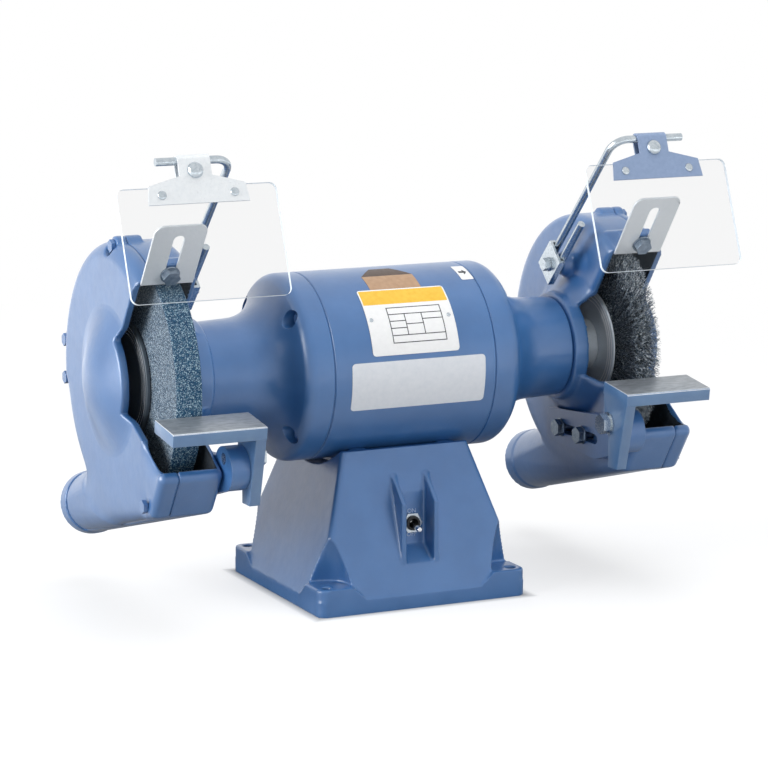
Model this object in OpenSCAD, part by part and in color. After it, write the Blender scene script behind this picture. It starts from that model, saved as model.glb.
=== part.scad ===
// Bench grinder: a grinding wheel on the left arbor and a wire wheel on the right.
// Millimetres. The origin is the centre of the base on the bench, +X runs along
// the spindle to the wire wheel, -Y faces the operator and +Z is up.

/* [Base] */
// Width of the base plate, along the spindle
base_w = 188; // [180:1:204]
// Depth of the base plate
base_d = 185; // [178:1:200]
// Corner radius of the base plate
base_corner_r = 7; // [4:0.5:8]
// Height of the rim between the corner pads
rim_h = 12; // [8:0.5:15]
// Height of the corner pads
pad_h = 23; // [18:0.5:28]
// Side of a corner pad at its top
pad_side = 30; // [26:1:36]
// Distance that the flank of a pad runs out down to the rim
pad_flank = 12; // [6:0.5:16]
// Distance of a bolt hole from the edges of the plate
bolt_inset = 10; // [8:0.5:13]
// Radius of the bench bolt holes
bolt_hole_r = 4.4; // [3:0.1:5.5]
// Radius of the hollow round a bolt hole, at the pad
scallop_r = 21; // [16:0.5:24]
// Radius of that hollow at its upper end
scallop_top_r = 6; // [3:0.5:9]
// Height of that hollow above the pad
scallop_h = 52; // [36:1:60]
// Width of the pedestal at the top
ped_top_w = 115; // [105:1:125]
// Depth of the pedestal at the top
ped_top_d = 112; // [106:1:116]
// Flat land along the top edges of the pedestal
ped_land = 5; // [3:0.5:7]
// Edge radius of the pedestal
ped_edge_r = 4; // [2:0.5:6]
// Wall thickness of the base casting
base_wall = 7; // [5:0.5:8]
// Width of the hand hole under the base
mouth_w = 132; // [110:1:138]
// Depth of the hand hole under the base
mouth_d = 130; // [110:1:136]
// Width of the ledge that carries the bottom plate
ledge = 5; // [4:0.5:7]
// Thickness of the bottom plate
bottom_t = 1.6; // [1:0.2:2.4]
// Distance of the cable gland from the middle of the base
gland_x = 42; // [30:1:50]
// Height of the cable gland
gland_h = 46; // [38:1:56]
// Radius of the gland's thread
gland_r = 8; // [6:0.5:9]
// Radius of the cable hole in the gland
gland_bore_r = 4.2; // [3:0.1:5]
// Distance of the gland's seat inside the plate's rear edge
gland_in = 4; // [3:0.25:6]
// Thickness of the gland's hexagon
gland_hex_t = 7; // [5:0.5:9]
// Length of the gland's nose
gland_nose_l = 14; // [10:0.5:18]
// Radius of the gland's boss and hexagon as a share of its thread
gland_boss_ratio = 1.9; // [1.7:0.05:2]
// Radius of the gland's nose as a share of its thread
gland_nose_ratio = 1.2; // [1.1:0.05:1.3]
// Distance of the bottom plate above the bench
bottom_lift = 0.5; // [0.2:0.1:1]
// Radius of the start capacitor
capacitor_r = 18; // [14:0.5:20]
// Length of the start capacitor
capacitor_l = 80; // [60:1:90]
// Distance of the start capacitor behind the middle
capacitor_y = 22; // [18:1:30]

/* [Switch] */
// Width of the pocket between the two guard fins
pocket_w = 25; // [22:0.5:32]
// Depth of the pocket's back wall from the spindle plane
pocket_back = 67; // [65:0.5:70]
// Height of the pocket's floor at the front
pocket_floor_h = 35; // [30:1:40]
// Rise of the pocket's floor towards its back wall
pocket_rise = 13; // [8:1:16]
// Thickness of a guard fin
fin_t = 4.5; // [3:0.5:6]
// Distance of the fins' front edge from the spindle plane
fin_front = 85; // [82:0.5:88]
// Height at which the fins' front edge turns back to the pedestal
fin_bend_h = 86; // [80:1:92]
// Height of the fins' upper end
fin_top_h = 109; // [102:1:114]
// Height of the toggle switch
switch_h = 66; // [60:1:72]
// Radius of the switch bushing
bush_r = 5.9; // [5:0.1:6.4]
// Length of the bushing in front of the pocket's back wall
bush_out = 5; // [4:0.25:7]
// Width of the switch body
switch_w = 22; // [18:1:24]
// Height of the switch body
switch_tall = 30; // [24:1:34]
// Depth of the switch body
switch_deep = 20; // [14:1:24]
// Length of the toggle lever from its pivot
lever_len = 17; // [13:0.5:21]
// Radius of the toggle lever at its root
lever_r = 1.7; // [1.3:0.1:2]
// Radius of the toggle lever's tip
lever_tip_r = 2.6; // [2.2:0.1:3.2]
// Angle of the lever below level when off
lever_drop = 10; // [6:1:12]
// Radius of the ball that the lever turns on
lever_ball_r = 3.4; // [3:0.1:3.6]
// Radius of the bore in the switch bushing
bush_bore_r = 4.1; // [4:0.05:4.4]
// Depth of the lever's pivot behind the pocket's back wall
lever_pivot_in = 1.5; // [1:0.1:2]
// Radius of the switch nut as a share of its bushing
switch_nut_ratio = 1.55; // [1.4:0.05:1.7]
// Height of the switch nut
switch_nut_h = 2.8; // [2:0.1:3.5]
// Length of the terminals on the switch
terminal_l = 10; // [6:0.5:12]
// Thickness of the terminals on the switch
terminal_t = 1; // [0.8:0.1:1.5]

/* [Motor] */
// Height of the spindle above the bench
spindle_h = 192; // [189:0.5:200]
// Radius of the motor
motor_r = 77.8; // [75:0.2:79]
// Half length of the motor frame
frame_half = 72.7; // [68:0.1:78]
// Wall thickness of the motor frame
frame_wall = 6; // [5:0.25:7]
// Chamfer at the seams between frame and end bells
seam_cut = 1; // [0.4:0.1:1.6]
// Gap between the motor and the trough in the pedestal
cradle_gap = 4.2; // [3.5:0.1:5]
// Distance of a saddle rib from the middle
rib_x = 40; // [32:1:46]
// Width of a saddle rib
rib_w = 14; // [12:1:20]
// Radius of the motor mounting bolts
mount_bolt_r = 4; // [3:0.25:5]
// Convex radius of an end bell's shoulder
shoulder_r = 12; // [9:0.5:14]
// Concave radius from an end bell's shoulder to its neck
sweep_r = 38; // [34:0.5:44]
// Radius of the neck where that sweep ends
neck_r = 43.5; // [42.5:0.25:46]
// Distance of the neck from the middle of the motor
neck_x = 135; // [131:0.5:140]
// Radius of an end bell at its outer end
snout_r = 42.2; // [40:0.2:42.4]
// Distance of an end bell's outer end from the middle
bell_end = 164.4; // [163:0.2:166]
// Radius of the circle of end bell screws
bell_screw_pcr = 67; // [65:0.5:68]
// Radius of the pockets for the end bell screws
screw_pocket_r = 7.5; // [7:0.25:8.5]
// Distance of the screw seats from the frame seam
screw_seat = 19; // [16:0.5:21]
// Radius of the lugs in the frame that take those screws
frame_lug_r = 6.5; // [5.5:0.25:7]
// Length of those lugs
frame_lug_l = 12; // [8:0.5:14]
// Length of a winding's end turns
winding_l = 17; // [12:0.5:18]
// Distance of the end turns from the core's edges
winding_in = 5; // [4:0.25:7]
// Gap between the shaft and an end bell's bore
bell_bore_gap = 4; // [3:0.25:6]
// Wall round a bearing in an end bell
bearing_wall = 5; // [4:0.25:7]
// Length of an end bell's throat inside the neck
throat_l = 20; // [14:0.5:24]
// Wall between an end bell's screw pockets and its inside
bell_lip = 0.5; // [0.4:0.1:1]

/* [Spindle] */
// Radius of the shaft in the rotor
shaft_r = 12; // [11:0.25:12.5]
// Radius of the shaft in the bearings
seat_r = 10; // [9:0.25:10.5]
// Radius of the arbor that carries a wheel
arbor_r = 7.94; // [7:0.02:8.2]
// Outer radius of a bearing
bearing_r = 23.5; // [22.5:0.25:25]
// Width of a bearing
bearing_w = 14; // [12:0.5:15]
// Distance of a bearing's inner face from the middle
bearing_x = 142; // [138:0.5:144]
// Radius of a bearing ball
ball_r = 3.9; // [3.5:0.05:4.2]
// Number of balls in a bearing
ball_count = 8; // [6:1:9]
// Radius of the rotor
rotor_r = 41.6; // [38:0.2:44]
// Air gap between rotor and stator
air_gap = 0.4; // [0.3:0.05:0.8]
// Half length of the rotor and stator cores
stack_half = 40; // [30:1:42]
// Length of the rotor's end rings
end_ring_l = 7; // [4:0.5:9]
// Inner radius of the rotor's end rings as a share of the rotor
end_ring_ratio = 0.7; // [0.6:0.05:0.8]

/* [Wheels] */
// Radius of the grinding wheel
wheel_r = 101.6; // [98:0.2:102.4]
// Width of the grinding wheel
wheel_w = 22; // [18:0.5:23]
// Distance of the wheels' middle plane from the middle of the motor
wheel_x = 208.5; // [207.5:0.1:209.5]
// Thickness of a paper blotter
blotter_t = 0.8; // [0.5:0.1:1.2]
// Radius of the wheel flanges
flange_r = 47.7; // [44:0.1:50]
// Thickness of an outer wheel flange
flange_t = 6; // [5:0.25:7]
// Distance of the shaft shoulder behind an inner flange from the middle
arbor_x = 189; // [188:0.25:191]
// Radius of the spacer behind the wire wheel
spacer_r = 22; // [18:0.5:28]
// Width of a spindle nut across its flats
nut_af = 24; // [20:0.5:26]
// Height of a spindle nut
nut_h = 10; // [8:0.5:11]
// Radius of the wire wheel
brush_r = 100.6; // [96:0.2:101.4]
// Width of the wire wheel at its face
brush_face_w = 27; // [20:0.5:29]
// Width of the wires at the plates
brush_root_w = 13; // [10:0.5:14]
// Radius at which the wires leave their core
brush_root_r = 50; // [48.5:0.5:54]
// Inner radius of the wires' core
brush_core_r = 32; // [28:0.5:36]
// Thickness of a wire wheel plate
brush_plate_t = 2.5; // [1.6:0.1:3]
// Number of strands round the wire wheel
strands_around = 84; // [60:1:100]
// Rows of strands across the wire wheel
strand_rows = 5; // [4:1:5]
// Unevenness of the strands' length
strand_ragged = 6; // [0:0.5:10]
// Gap beside a strand as a share of its cell
strand_inset = 0.3; // [0.25:0.01:0.36]
// Width of a strand's tip as a share of its root
strand_tip_share = 0.35; // [0.25:0.01:0.6]
// Chamfer at the rims of wheel, flanges and spacer
rim_cut = 0.8; // [0.4:0.1:1.2]
// Depth of the grooves turned in the outer flanges
groove_d = 0.8; // [0.4:0.1:1.2]
// Width of those grooves
groove_w = 1.6; // [1:0.1:2]
// Length of an arbor past the guard's cover
arbor_over = 4; // [2:0.25:6]

/* [Guards] */
// Outer radius of a wheel guard
guard_r = 112; // [111:0.2:114]
// Distance of a guard's inner wall from the middle
guard_x = 185; // [184:0.25:186]
// Width of a guard without its hub and dome
guard_w = 54; // [53:0.25:56]
// Depth of a guard's body, from its inner wall to the seam
guard_body_w = 38; // [36.5:0.25:39]
// Gap at the seam between body and cover
seam_gap = 0.5; // [0.3:0.05:0.8]
// Wall thickness of a guard
guard_wall = 6; // [5:0.25:6.5]
// Edge radius of a guard's body
guard_edge_r = 10; // [7:0.5:11]
// Edge radius of a guard's cover
cover_edge_r = 13; // [9:0.5:14]
// Radius of a guard's hub
hub_r = 46; // [45:0.25:48]
// Thickness of a guard's hub
hub_t = 8; // [6:0.5:9]
// Radius of the shaft hole in a guard's hub
hub_hole_r = 18; // [16:0.5:20]
// Radius at which the hub's flare meets the inner wall
flare_r = 62; // [58:0.5:64]
// Height of the hub dome above the cover's face
dome_h = 17; // [15:0.5:20]
// Radius of the flat end of the dome's hollow
dome_top_r = 24; // [20:0.5:28]
// Angle of the guard opening's upper edge, from the rear
spark_a = 126; // [122:0.5:128]
// Distance of the tray's front corner in front of the spindle
tray_y = 115; // [112:0.5:117]
// Distance of the tray's front corner below the spindle
tray_z = 55; // [53:0.5:58]
// Distance of the tray's lower front edge in front of the spindle
tray_low_y = 95; // [92:0.5:98]
// Distance of the tray's lower front edge below the spindle
tray_low_z = 96; // [93:0.5:99]
// Edge radius of the tray
tray_edge_r = 6; // [4:0.5:7]
// Outer radius of an exhaust tube
duct_r = 27; // [26:0.25:27.5]
// Wall thickness of an exhaust tube
duct_wall = 4; // [3:0.25:4.5]
// Slope of an exhaust tube, down to the rear
duct_tilt = 15; // [13:0.5:17]
// Distance of an exhaust tube's rim behind the spindle
duct_y = 123; // [119:0.5:126]
// Distance of an exhaust tube's rim below the spindle
duct_z = 127; // [125:0.5:129]
// Length of the full collar at an exhaust tube's rim
collar_l = 14; // [10:0.5:16]
// Radius of the round pad on a guard's inner wall
wall_pad_r = 12; // [9:0.5:13]
// Radius of the ears for the cover bolts
ear_r = 8; // [7:0.25:9]
// Thickness of a cover ear
ear_t = 9; // [8:0.25:10]
// Distance of the top ear inside the guard's rim
top_ear_in = 3; // [2:0.25:4]
// Distance of the rear ears outside the guard's rim
rear_ear_out = 4; // [2:0.25:5]
// Distance of the tray's bolt from the ear's own clearance to the tray's front edge
tray_bolt_in = 4; // [3:0.25:6]
// Height of the hollow's foot as a share of the dome's height
dome_foot_share = 0.35; // [0.3:0.01:0.4]
// Fullness of the dome: the smaller, the broader its crown
dome_fullness = 0.75; // [0.7:0.01:0.85]
// Place of the tray's upper rear edge as a share of its reach
tray_mid_share = 0.72; // [0.68:0.01:0.76]
// Length of a body ear as a share of a cover ear
ear_ratio = 1.5; // [1.2:0.05:1.7]
// Distance of the round pad in front of the arm's boss
wall_pad_y = 17.5; // [14:0.5:20]
// Distance of the round pad above the arm's boss
wall_pad_z = 4; // [2:0.5:6]

/* [Spark guards] */
// Width of a spark guard plate
spark_w = 44; // [40:0.5:45]
// Length of a spark guard plate
spark_l = 62; // [56:0.5:68]
// Thickness of a spark guard plate
spark_t = 2; // [1.5:0.1:2.5]
// Gap between a spark guard and the wheel
spark_gap = 5.4; // [5:0.1:7]
// Corner radius of a spark guard
spark_corner_r = 8; // [5:0.5:10]
// Width of the slot in a spark guard
spark_slot_w = 9; // [8.6:0.1:10]
// Distance of the slot from the lower edge
spark_slot_in = 5.5; // [5:0.25:6]
// Length of that slot
spark_slot_l = 46; // [38:0.5:48]
// Distance of the spark guard bolt from the spindle
spark_bolt_z = 118; // [117.4:0.1:119]
// Thickness of the lug behind a spark guard
lug_t = 15; // [13:0.5:17]
// Distance of that lug's foot from the plate as a share of its thickness
lug_foot_ratio = 1.6; // [1.4:0.05:1.8]
// Distance of the spark guard's lower edge below the lug
lug_in = 2; // [1:0.25:2.5]

/* [Eye shields] */
// Radius of the shield arm's rod
rod_r = 3.175; // [2.8:0.025:3.4]
// Distance of an arm's legs from the middle
arm_x = 170; // [169:0.25:171]
// Distance of an arm's pivot behind the spindle
arm_y = 5; // [2:0.5:8]
// Distance of an arm's pivot above the spindle
arm_z = 70; // [69:0.25:73]
// Angle of an arm, from the rear
arm_a = 134; // [130:0.5:136]
// Length of an arm from its pivot to the cross rod
arm_l = 154; // [148:0.5:160]
// Length of an arm's short return leg
arm_short_l = 62; // [50:0.5:70]
// Radius of the loop round an arm's pivot, at the rod's middle
loop_r = 6.75; // [6.7:0.05:7.2]
// Radius of an arm's bend, at the rod's middle
bend_r = 13; // [10:0.5:15]
// Distance of the cross rod's free end from the middle
rod_end = 233; // [230:0.5:236]
// Radius of the arm's pivot bolt
arm_bolt_r = 3.1; // [2.6:0.05:3.15]
// Thickness of an arm's clamp plate
clamp_t = 2.5; // [2:0.1:3]
// Radius of the boss that carries an arm
arm_boss_r = 11; // [9.5:0.25:12]
// Length of a clamp plate along the legs, above the pivot
clamp_high = 17; // [14:0.5:20]
// Length of a clamp plate below the loop
clamp_low = 3; // [2:0.25:5]
// Distance of a shield's middle from the middle of the motor
shield_x = 203; // [202:0.5:205]
// Tilt of a shield, its lower edge towards the operator
shield_tilt = 21; // [18:0.5:24]
// Width of a shield's panel
panel_w = 132; // [124:1:140]
// Height of a shield's panel
panel_h = 90; // [80:1:94]
// Thickness of a shield's panel
panel_t = 3; // [2:0.1:3.1]
// Corner radius of a shield's panel
panel_corner_r = 6; // [4:0.5:14]
// Distance of the panel's upper edge from the rod
panel_drop = 21; // [20:0.25:23]
// Sheet thickness of a shield's bracket
sheet_t = 1.5; // [1.2:0.1:1.8]
// Width of the bracket's rolled tab
tab_w = 27; // [24:0.5:30]
// Length of the bracket's back tab
tab_l = 14; // [13:0.25:16]
// Width of the bracket at its lower edge
bracket_w = 84; // [76:1:90]
// Height of the bracket below the rod
bracket_h = 35; // [33:0.5:37]
// Height of the bracket's lower band
band_h = 15; // [13:0.5:17]
// Distance between the two rivets
rivet_pitch = 60; // [54:0.5:66]
// Radius of a rivet's head
rivet_head_r = 3.6; // [3:0.1:4]
// Radius of the shield's clamp screw head
clamp_head_r = 6.5; // [5.5:0.1:7]
// Distance of the clamp screw from the rod
clamp_drop = 9; // [8.5:0.25:10]
// Height of the shield's clamp screw head
clamp_head_h = 4.5; // [3.5:0.1:5.5]
// Radius of the shield's clamp screw
clamp_shank_r = 2.2; // [1.8:0.1:2.6]
// Height of the clamp screw's nut
clamp_nut_h = 3; // [2.4:0.1:3.6]
// Radius of a rivet
rivet_r = 2; // [1.6:0.1:2.4]
// Height of a rivet's head
rivet_head_t = 1.6; // [1.2:0.1:2]
// Length of the tab below the clamp screw, before it widens
tab_under = 4; // [3:0.25:5]
// Slant of the bracket's lower band, at each end
band_slant = 2; // [0:0.25:4]

/* [Tool rests] */
// Distance of a rest's inner end from the middle
rest_x = 160; // [158.5:0.5:161]
// Width of a rest's table
rest_w = 78.5; // [72:0.5:84]
// Depth of a rest's table
rest_d = 40; // [34:0.5:46]
// Thickness of a rest's table
rest_t = 10.5; // [8:0.5:12]
// Gap between a rest's back edge and the wheel
rest_gap = 2.6; // [2.4:0.1:4]
// Distance of a rest's back edge below the spindle
rest_z = 14; // [11:0.5:17]
// Slope of a rest's table, down to the operator
rest_tilt = 7.5; // [5:0.5:10]
// Thickness of a rest's leg
leg_t = 9; // [7.5:0.25:9.4]
// Width of a rest's leg at its lower end
leg_w = 15; // [13:0.5:18]
// Length of a rest's leg below its pivot
leg_low = 37; // [33:0.5:40]
// Distance of the leg's rear edge behind the pivot, at its lower end
leg_foot = 1; // [0:0.5:3]
// Distance of a rest's pivot in front of the spindle
pivot_y = 112; // [110:0.5:114]
// Distance of a rest's pivot below the spindle
pivot_z = 48; // [46:0.5:50]
// Radius of a rest's pivot bolt
pivot_r = 4.7; // [4:0.1:5.2]
// Radius of the round end of a rest's bracket
knuckle_r = 18; // [16:0.5:19]
// Distance of that round end's middle below the pivot
knuckle_drop = 8; // [5:0.5:9]
// Thickness of a rest's bracket plate
plate_t = 7.5; // [7:0.25:7.8]
// Distance of the bracket's rear end behind the spindle
plate_rear = 29; // [26:0.5:32]
// Height of the bracket plate at its rear end
plate_tall = 27; // [24:0.5:30]
// Distance of the bracket bolts below the spindle
bracket_bolt_z = 73; // [72:0.25:75]
// Distance of the rear bracket bolt behind the spindle
bracket_bolt_y = 3; // [0:0.5:6]
// Distance between the two bracket bolts
bracket_bolt_pitch = 38; // [34:0.5:42]
// Radius of the bracket bolts
bracket_bolt_r = 4; // [3.5:0.1:4.4]
// Travel of a bracket towards the wheel
rest_travel_in = 1.5; // [1:0.1:1.6]
// Travel of a bracket away from the wheel
rest_travel_out = 2.5; // [2:0.1:3]
// Chamfer along the table's edges
rest_cut = 0.8; // [0.4:0.1:1.2]
// Share of the table's depth that the leg carries
leg_share = 0.97; // [0.9:0.01:0.97]
// Height of the bevel at the bracket's rear end
plate_bevel = 5.4; // [4:0.2:7]
// Depth of the bracket's belly below its rear end
plate_belly = 4; // [2:0.5:6]
// Distance of the slot's front end in front of the front bolt
slot_over = 20; // [16:0.5:22]

/* [Fasteners] */
// Radius of the cover bolts
cover_bolt_r = 3; // [2.5:0.1:3.4]
// Radius of the circle of guard mounting screws
guard_screw_pcr = 31; // [29:0.5:33]
// Radius of the guard mounting screws
guard_screw_r = 3; // [2.4:0.1:3.4]
// Radius of the end bell screws
bell_screw_r = 2.4; // [2:0.1:2.8]
// Radius of the spark guard bolts
spark_bolt_r = 4; // [3.4:0.1:4.2]
// Height of a hex head as a share of its bolt's diameter
head_ratio = 0.62; // [0.5:0.01:0.7]
// Width across flats of a hex head as a share of its bolt's diameter
head_af_ratio = 1.6; // [1.5:0.01:1.7]
// Thickness of a flat washer
washer_t = 1.4; // [1:0.1:1.8]
// Radius of a washer as a share of its bolt
washer_ratio = 2; // [1.9:0.05:2.1]
// Radius of the bottom plate's screws
bottom_screw_r = 1.4; // [1:0.1:1.6]
// Height of the bottom plate's screws
bottom_screw_l = 7; // [6:0.5:8]

/* [Fits] */
// Radial clearance of running and slip fits
fit = 0.05; // [0.03:0.01:0.08]
// Radial clearance of a bolt in its hole
bolt_fit = 0.15; // [0.1:0.01:0.25]
// Gap between faces that slide on each other
slide_gap = 0.1; // [0.05:0.01:0.2]

/* [Hidden] */
turn_fn = 96;
round_fn = 48;
hull_fn = 28;
arc_steps = 8;
hex = 6;
overcut = 1;
reach = 400;
thin = 0.2;
hex_share = 0.82;

guard_blue = [0.38, 0.47, 0.66];
zinc = [0.75, 0.78, 0.80];
dark_steel = [0.25, 0.26, 0.28];
bright_steel = [0.70, 0.71, 0.73];
black = [0.10, 0.10, 0.11];

trough_r = motor_r + cradle_gap;
ped_top_z = spindle_h - sqrt(pow(trough_r, 2) - pow(ped_top_d / 2 - ped_land, 2));
hole_x = base_w / 2 - bolt_inset;
hole_y = base_d / 2 - bolt_inset;
pocket_wall_y = pocket_back - base_wall;
frame_in_r = motor_r - frame_wall;
frame_low_z = spindle_h - motor_r;
bolt_low_z = spindle_h - trough_r - base_wall;
gland_face = base_d / 2 - gland_in;
bottom_screw_x = mouth_w / 2 + ledge / 2;
bearing_end = bearing_x + bearing_w;
bell_bore_r = seat_r + bell_bore_gap;
bell_inner_r = bell_screw_pcr - screw_pocket_r - bell_lip;
shoulder_x = neck_x - sqrt(pow(sweep_r + shoulder_r, 2) - pow(neck_r + sweep_r - motor_r + shoulder_r, 2));
sweep_a = atan2(neck_r + sweep_r - motor_r + shoulder_r, neck_x - shoulder_x);
bell_inner_x = shoulder_x - 2 * overcut;
bell_throat_r = bearing_r + bearing_wall;
bell_throat_x = neck_x - throat_l;
screw_seat_x = frame_half + screw_seat;
race_r = (seat_r + bearing_r) / 2;
ball_fit_r = ball_r + fit;
arbor_end = wheel_x + guard_w / 2 + arbor_over;
wheel_in = wheel_x - wheel_w / 2;
wheel_out = wheel_x + wheel_w / 2;
brush_in = wheel_x - brush_root_w / 2;
brush_out = wheel_x + brush_root_w / 2;
guard_end = guard_x + guard_w;
seam_x = guard_x + guard_body_w;
guard_mid = guard_x + guard_w / 2;
dome_end = guard_end + dome_h;
hub_in = bell_end + hub_t;
tray_a = 180 + atan2(tray_z, tray_y);
cover_bolts_at = [
  [0, guard_r - top_ear_in, seam_x + ear_t],
  [guard_r + rear_ear_out, ear_r * 2, seam_x + ear_t],
  [guard_r + rear_ear_out, -ear_r * 2, seam_x + ear_t],
  [-tray_low_y + ear_r + tray_bolt_in, -tray_low_z + ear_r + overcut, guard_end]
];
spark_low = wheel_r + spark_gap;
rod_y = arm_y + arm_l * cos(arm_a) + loop_r * sin(arm_a);
rod_z = arm_z + arm_l * sin(arm_a) - loop_r * cos(arm_a);
clamp_x = arm_x - rod_r - slide_gap;
clamp_half = loop_r + rod_r + slide_gap;
clamp_foot = loop_r + rod_r + clamp_low;
arm_boss_x = arm_x + rod_r + slide_gap;
roll_in = rod_r + fit;
roll_out = roll_in + sheet_t;
rivet_z = bracket_h - band_h / 2;
rest_back = sqrt(pow(wheel_r + rest_gap, 2) - pow(rest_z, 2));
leg_out = rest_x + leg_t;
plate_x = guard_x - slide_gap - plate_t;
knuckle_x = leg_out + slide_gap;

// Points of an arc in a turned outline: [radius, distance along the spindle].
function turned_arc(x, r, size, from, to) = [
  for (i = [0 : arc_steps])
    let (a = from + (to - from) * i / arc_steps)
    [r + size * sin(a), x + size * cos(a)]
];

// A body turned about the spindle.
module turned(points) {
  translate([0, 0, spindle_h])
    rotate([0, 90, 0])
    rotate_extrude($fn = turn_fn)
    polygon(points);
}

// A round bar along X at a place given from the spindle.
module bar_x(at, r, x0, x1) {
  translate([x0, at[0], spindle_h + at[1]])
    rotate([0, 90, 0])
    cylinder(r = r, h = x1 - x0, $fn = round_fn);
}

// A hexagon along X at a place given from the spindle.
module hex_x(at, flats, x0, x1) {
  translate([x0, at[0], spindle_h + at[1]])
    rotate([0, 90, 0])
    cylinder(r = flats / 2 / cos(30), h = x1 - x0, $fn = hex);
}

// A slab along X whose outline is drawn in Y and Z from the spindle.
module slab_x(x0, x1) {
  translate([x0, 0, spindle_h])
    rotate([90, 0, 90])
    linear_extrude(x1 - x0)
    children();
}

module both_sides() {
  children();
  mirror([1, 0, 0]) children();
}

// A hex bolt along X, its head on the side given by the sign of side.
module hex_bolt_x(at, r, seat, tip, side) {
  head = 2 * r * head_ratio;
  head_from = side > 0 ? seat : seat - head;
  shank_from = side > 0 ? tip : seat;
  shank_to = side > 0 ? seat : tip;
  hex_x(at, 2 * r * head_af_ratio, head_from, head_from + head);
  bar_x(at, r, shank_from, shank_to);
}

module rounded_plate(w, d, r, h) {
  linear_extrude(h) {
    square([w - 2 * r, d], center = true);
    square([w, d - 2 * r], center = true);
    for (sx = [-1, 1], sy = [-1, 1])
      translate([sx * (w / 2 - r), sy * (d / 2 - r)])
      circle(r, $fn = round_fn);
  }
}

// Four corner posts of a rectangle, the skeleton of a tapered block.
module posts(w, d, z) {
  for (sx = [-1, 1], sy = [-1, 1])
    translate([sx * (w / 2 - ped_edge_r), sy * (d / 2 - ped_edge_r), z])
    cylinder(r = ped_edge_r, h = thin, $fn = hull_fn);
}

module pedestal_block(inset, top) {
  hull() {
    posts(base_w - 2 * inset - overcut, base_d - 2 * inset - overcut, rim_h - thin);
    posts(ped_top_w - 2 * inset, ped_top_d - 2 * inset, top - thin);
  }
}

module corner_pads() {
  for (sx = [-1, 1], sy = [-1, 1])
    hull() {
      pad_slab(sx, sy, pad_side + pad_flank, 0, rim_h - thin);
      pad_slab(sx, sy, pad_side, 0, pad_h);
    }
}

// A pad's outline, square but for the round corner of the plate.
module pad_slab(sx, sy, side, z, h) {
  r = base_corner_r + overcut;
  arc = turned_arc(-r, -r, r, 0, 90);
  translate([sx * base_w / 2, sy * base_d / 2, z])
    linear_extrude(h)
    polygon([
      for (at = concat([[-side, 0], [-side, -side], [0, -side]], [for (p = arc) [p[1], p[0]]]))
        [sx * at[0], sy * at[1]]
    ]);
}

// The hollow round each bench bolt, larger by extra where it stands for the wall behind it.
module corner_hollows(extra, z) {
  for (sx = [-1, 1], sy = [-1, 1])
    translate([sx * hole_x, sy * hole_y, 0]) {
      if (z < pad_h)
        translate([0, 0, z])
        cylinder(r = scallop_r + extra, h = pad_h - z, $fn = round_fn);
      translate([0, 0, pad_h])
        cylinder(r1 = scallop_r + extra, r2 = scallop_top_r + extra, h = scallop_h, $fn = round_fn);
    }
}

module switch_fins() {
  for (s = [-1, 1])
    translate([s * (pocket_w + fin_t) / 2 - fin_t / 2, 0, 0])
    rotate([90, 0, 90])
    linear_extrude(fin_t)
    polygon([
      [-pocket_wall_y, fin_top_h],
      [-pocket_wall_y - overcut, fin_top_h],
      [-fin_front, fin_bend_h],
      [-fin_front, pocket_floor_h],
      [-pocket_wall_y, pocket_floor_h]
    ]);
}

module switch_pocket() {
  translate([-pocket_w / 2, 0, 0])
    rotate([90, 0, 90])
    linear_extrude(pocket_w)
    polygon([
      [-pocket_back, ped_top_z + overcut],
      [-pocket_back, pocket_floor_h + pocket_rise],
      [-fin_front, pocket_floor_h],
      [-base_d, pocket_floor_h],
      [-base_d, ped_top_z + overcut]
    ]);
}

module motor_trough() {
  difference() {
    bar_x([0, 0], trough_r, -base_w, base_w);
    for (s = [-1, 1])
      translate([s * rib_x - rib_w / 2, -ped_top_d / 2, 0])
      cube([rib_w, ped_top_d, spindle_h]);
  }
  bar_x([0, 0], motor_r + fit, -base_w, base_w);
}

module base_cavity() {
  difference() {
    pedestal_block(base_wall, ped_top_z - base_wall);
    bar_x([0, 0], trough_r + base_wall, -base_w, base_w);
    corner_hollows(base_wall, 0);
    translate([-pocket_w / 2 - fin_t, -base_d, 0])
      cube([pocket_w + 2 * fin_t, base_d - pocket_wall_y, ped_top_z]);
    translate([gland_x, pocket_wall_y, gland_h])
      rotate([-90, 0, 0])
      cylinder(r = gland_r * gland_boss_ratio, h = base_d, $fn = round_fn);
  }
  translate([-mouth_w / 2, -mouth_d / 2, -overcut])
    cube([mouth_w, mouth_d, rim_h + overcut]);
  translate([-mouth_w / 2 - ledge, -mouth_d / 2 - ledge, -overcut])
    cube([mouth_w + 2 * ledge, mouth_d + 2 * ledge, overcut + bottom_lift + bottom_t]);
}

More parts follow.
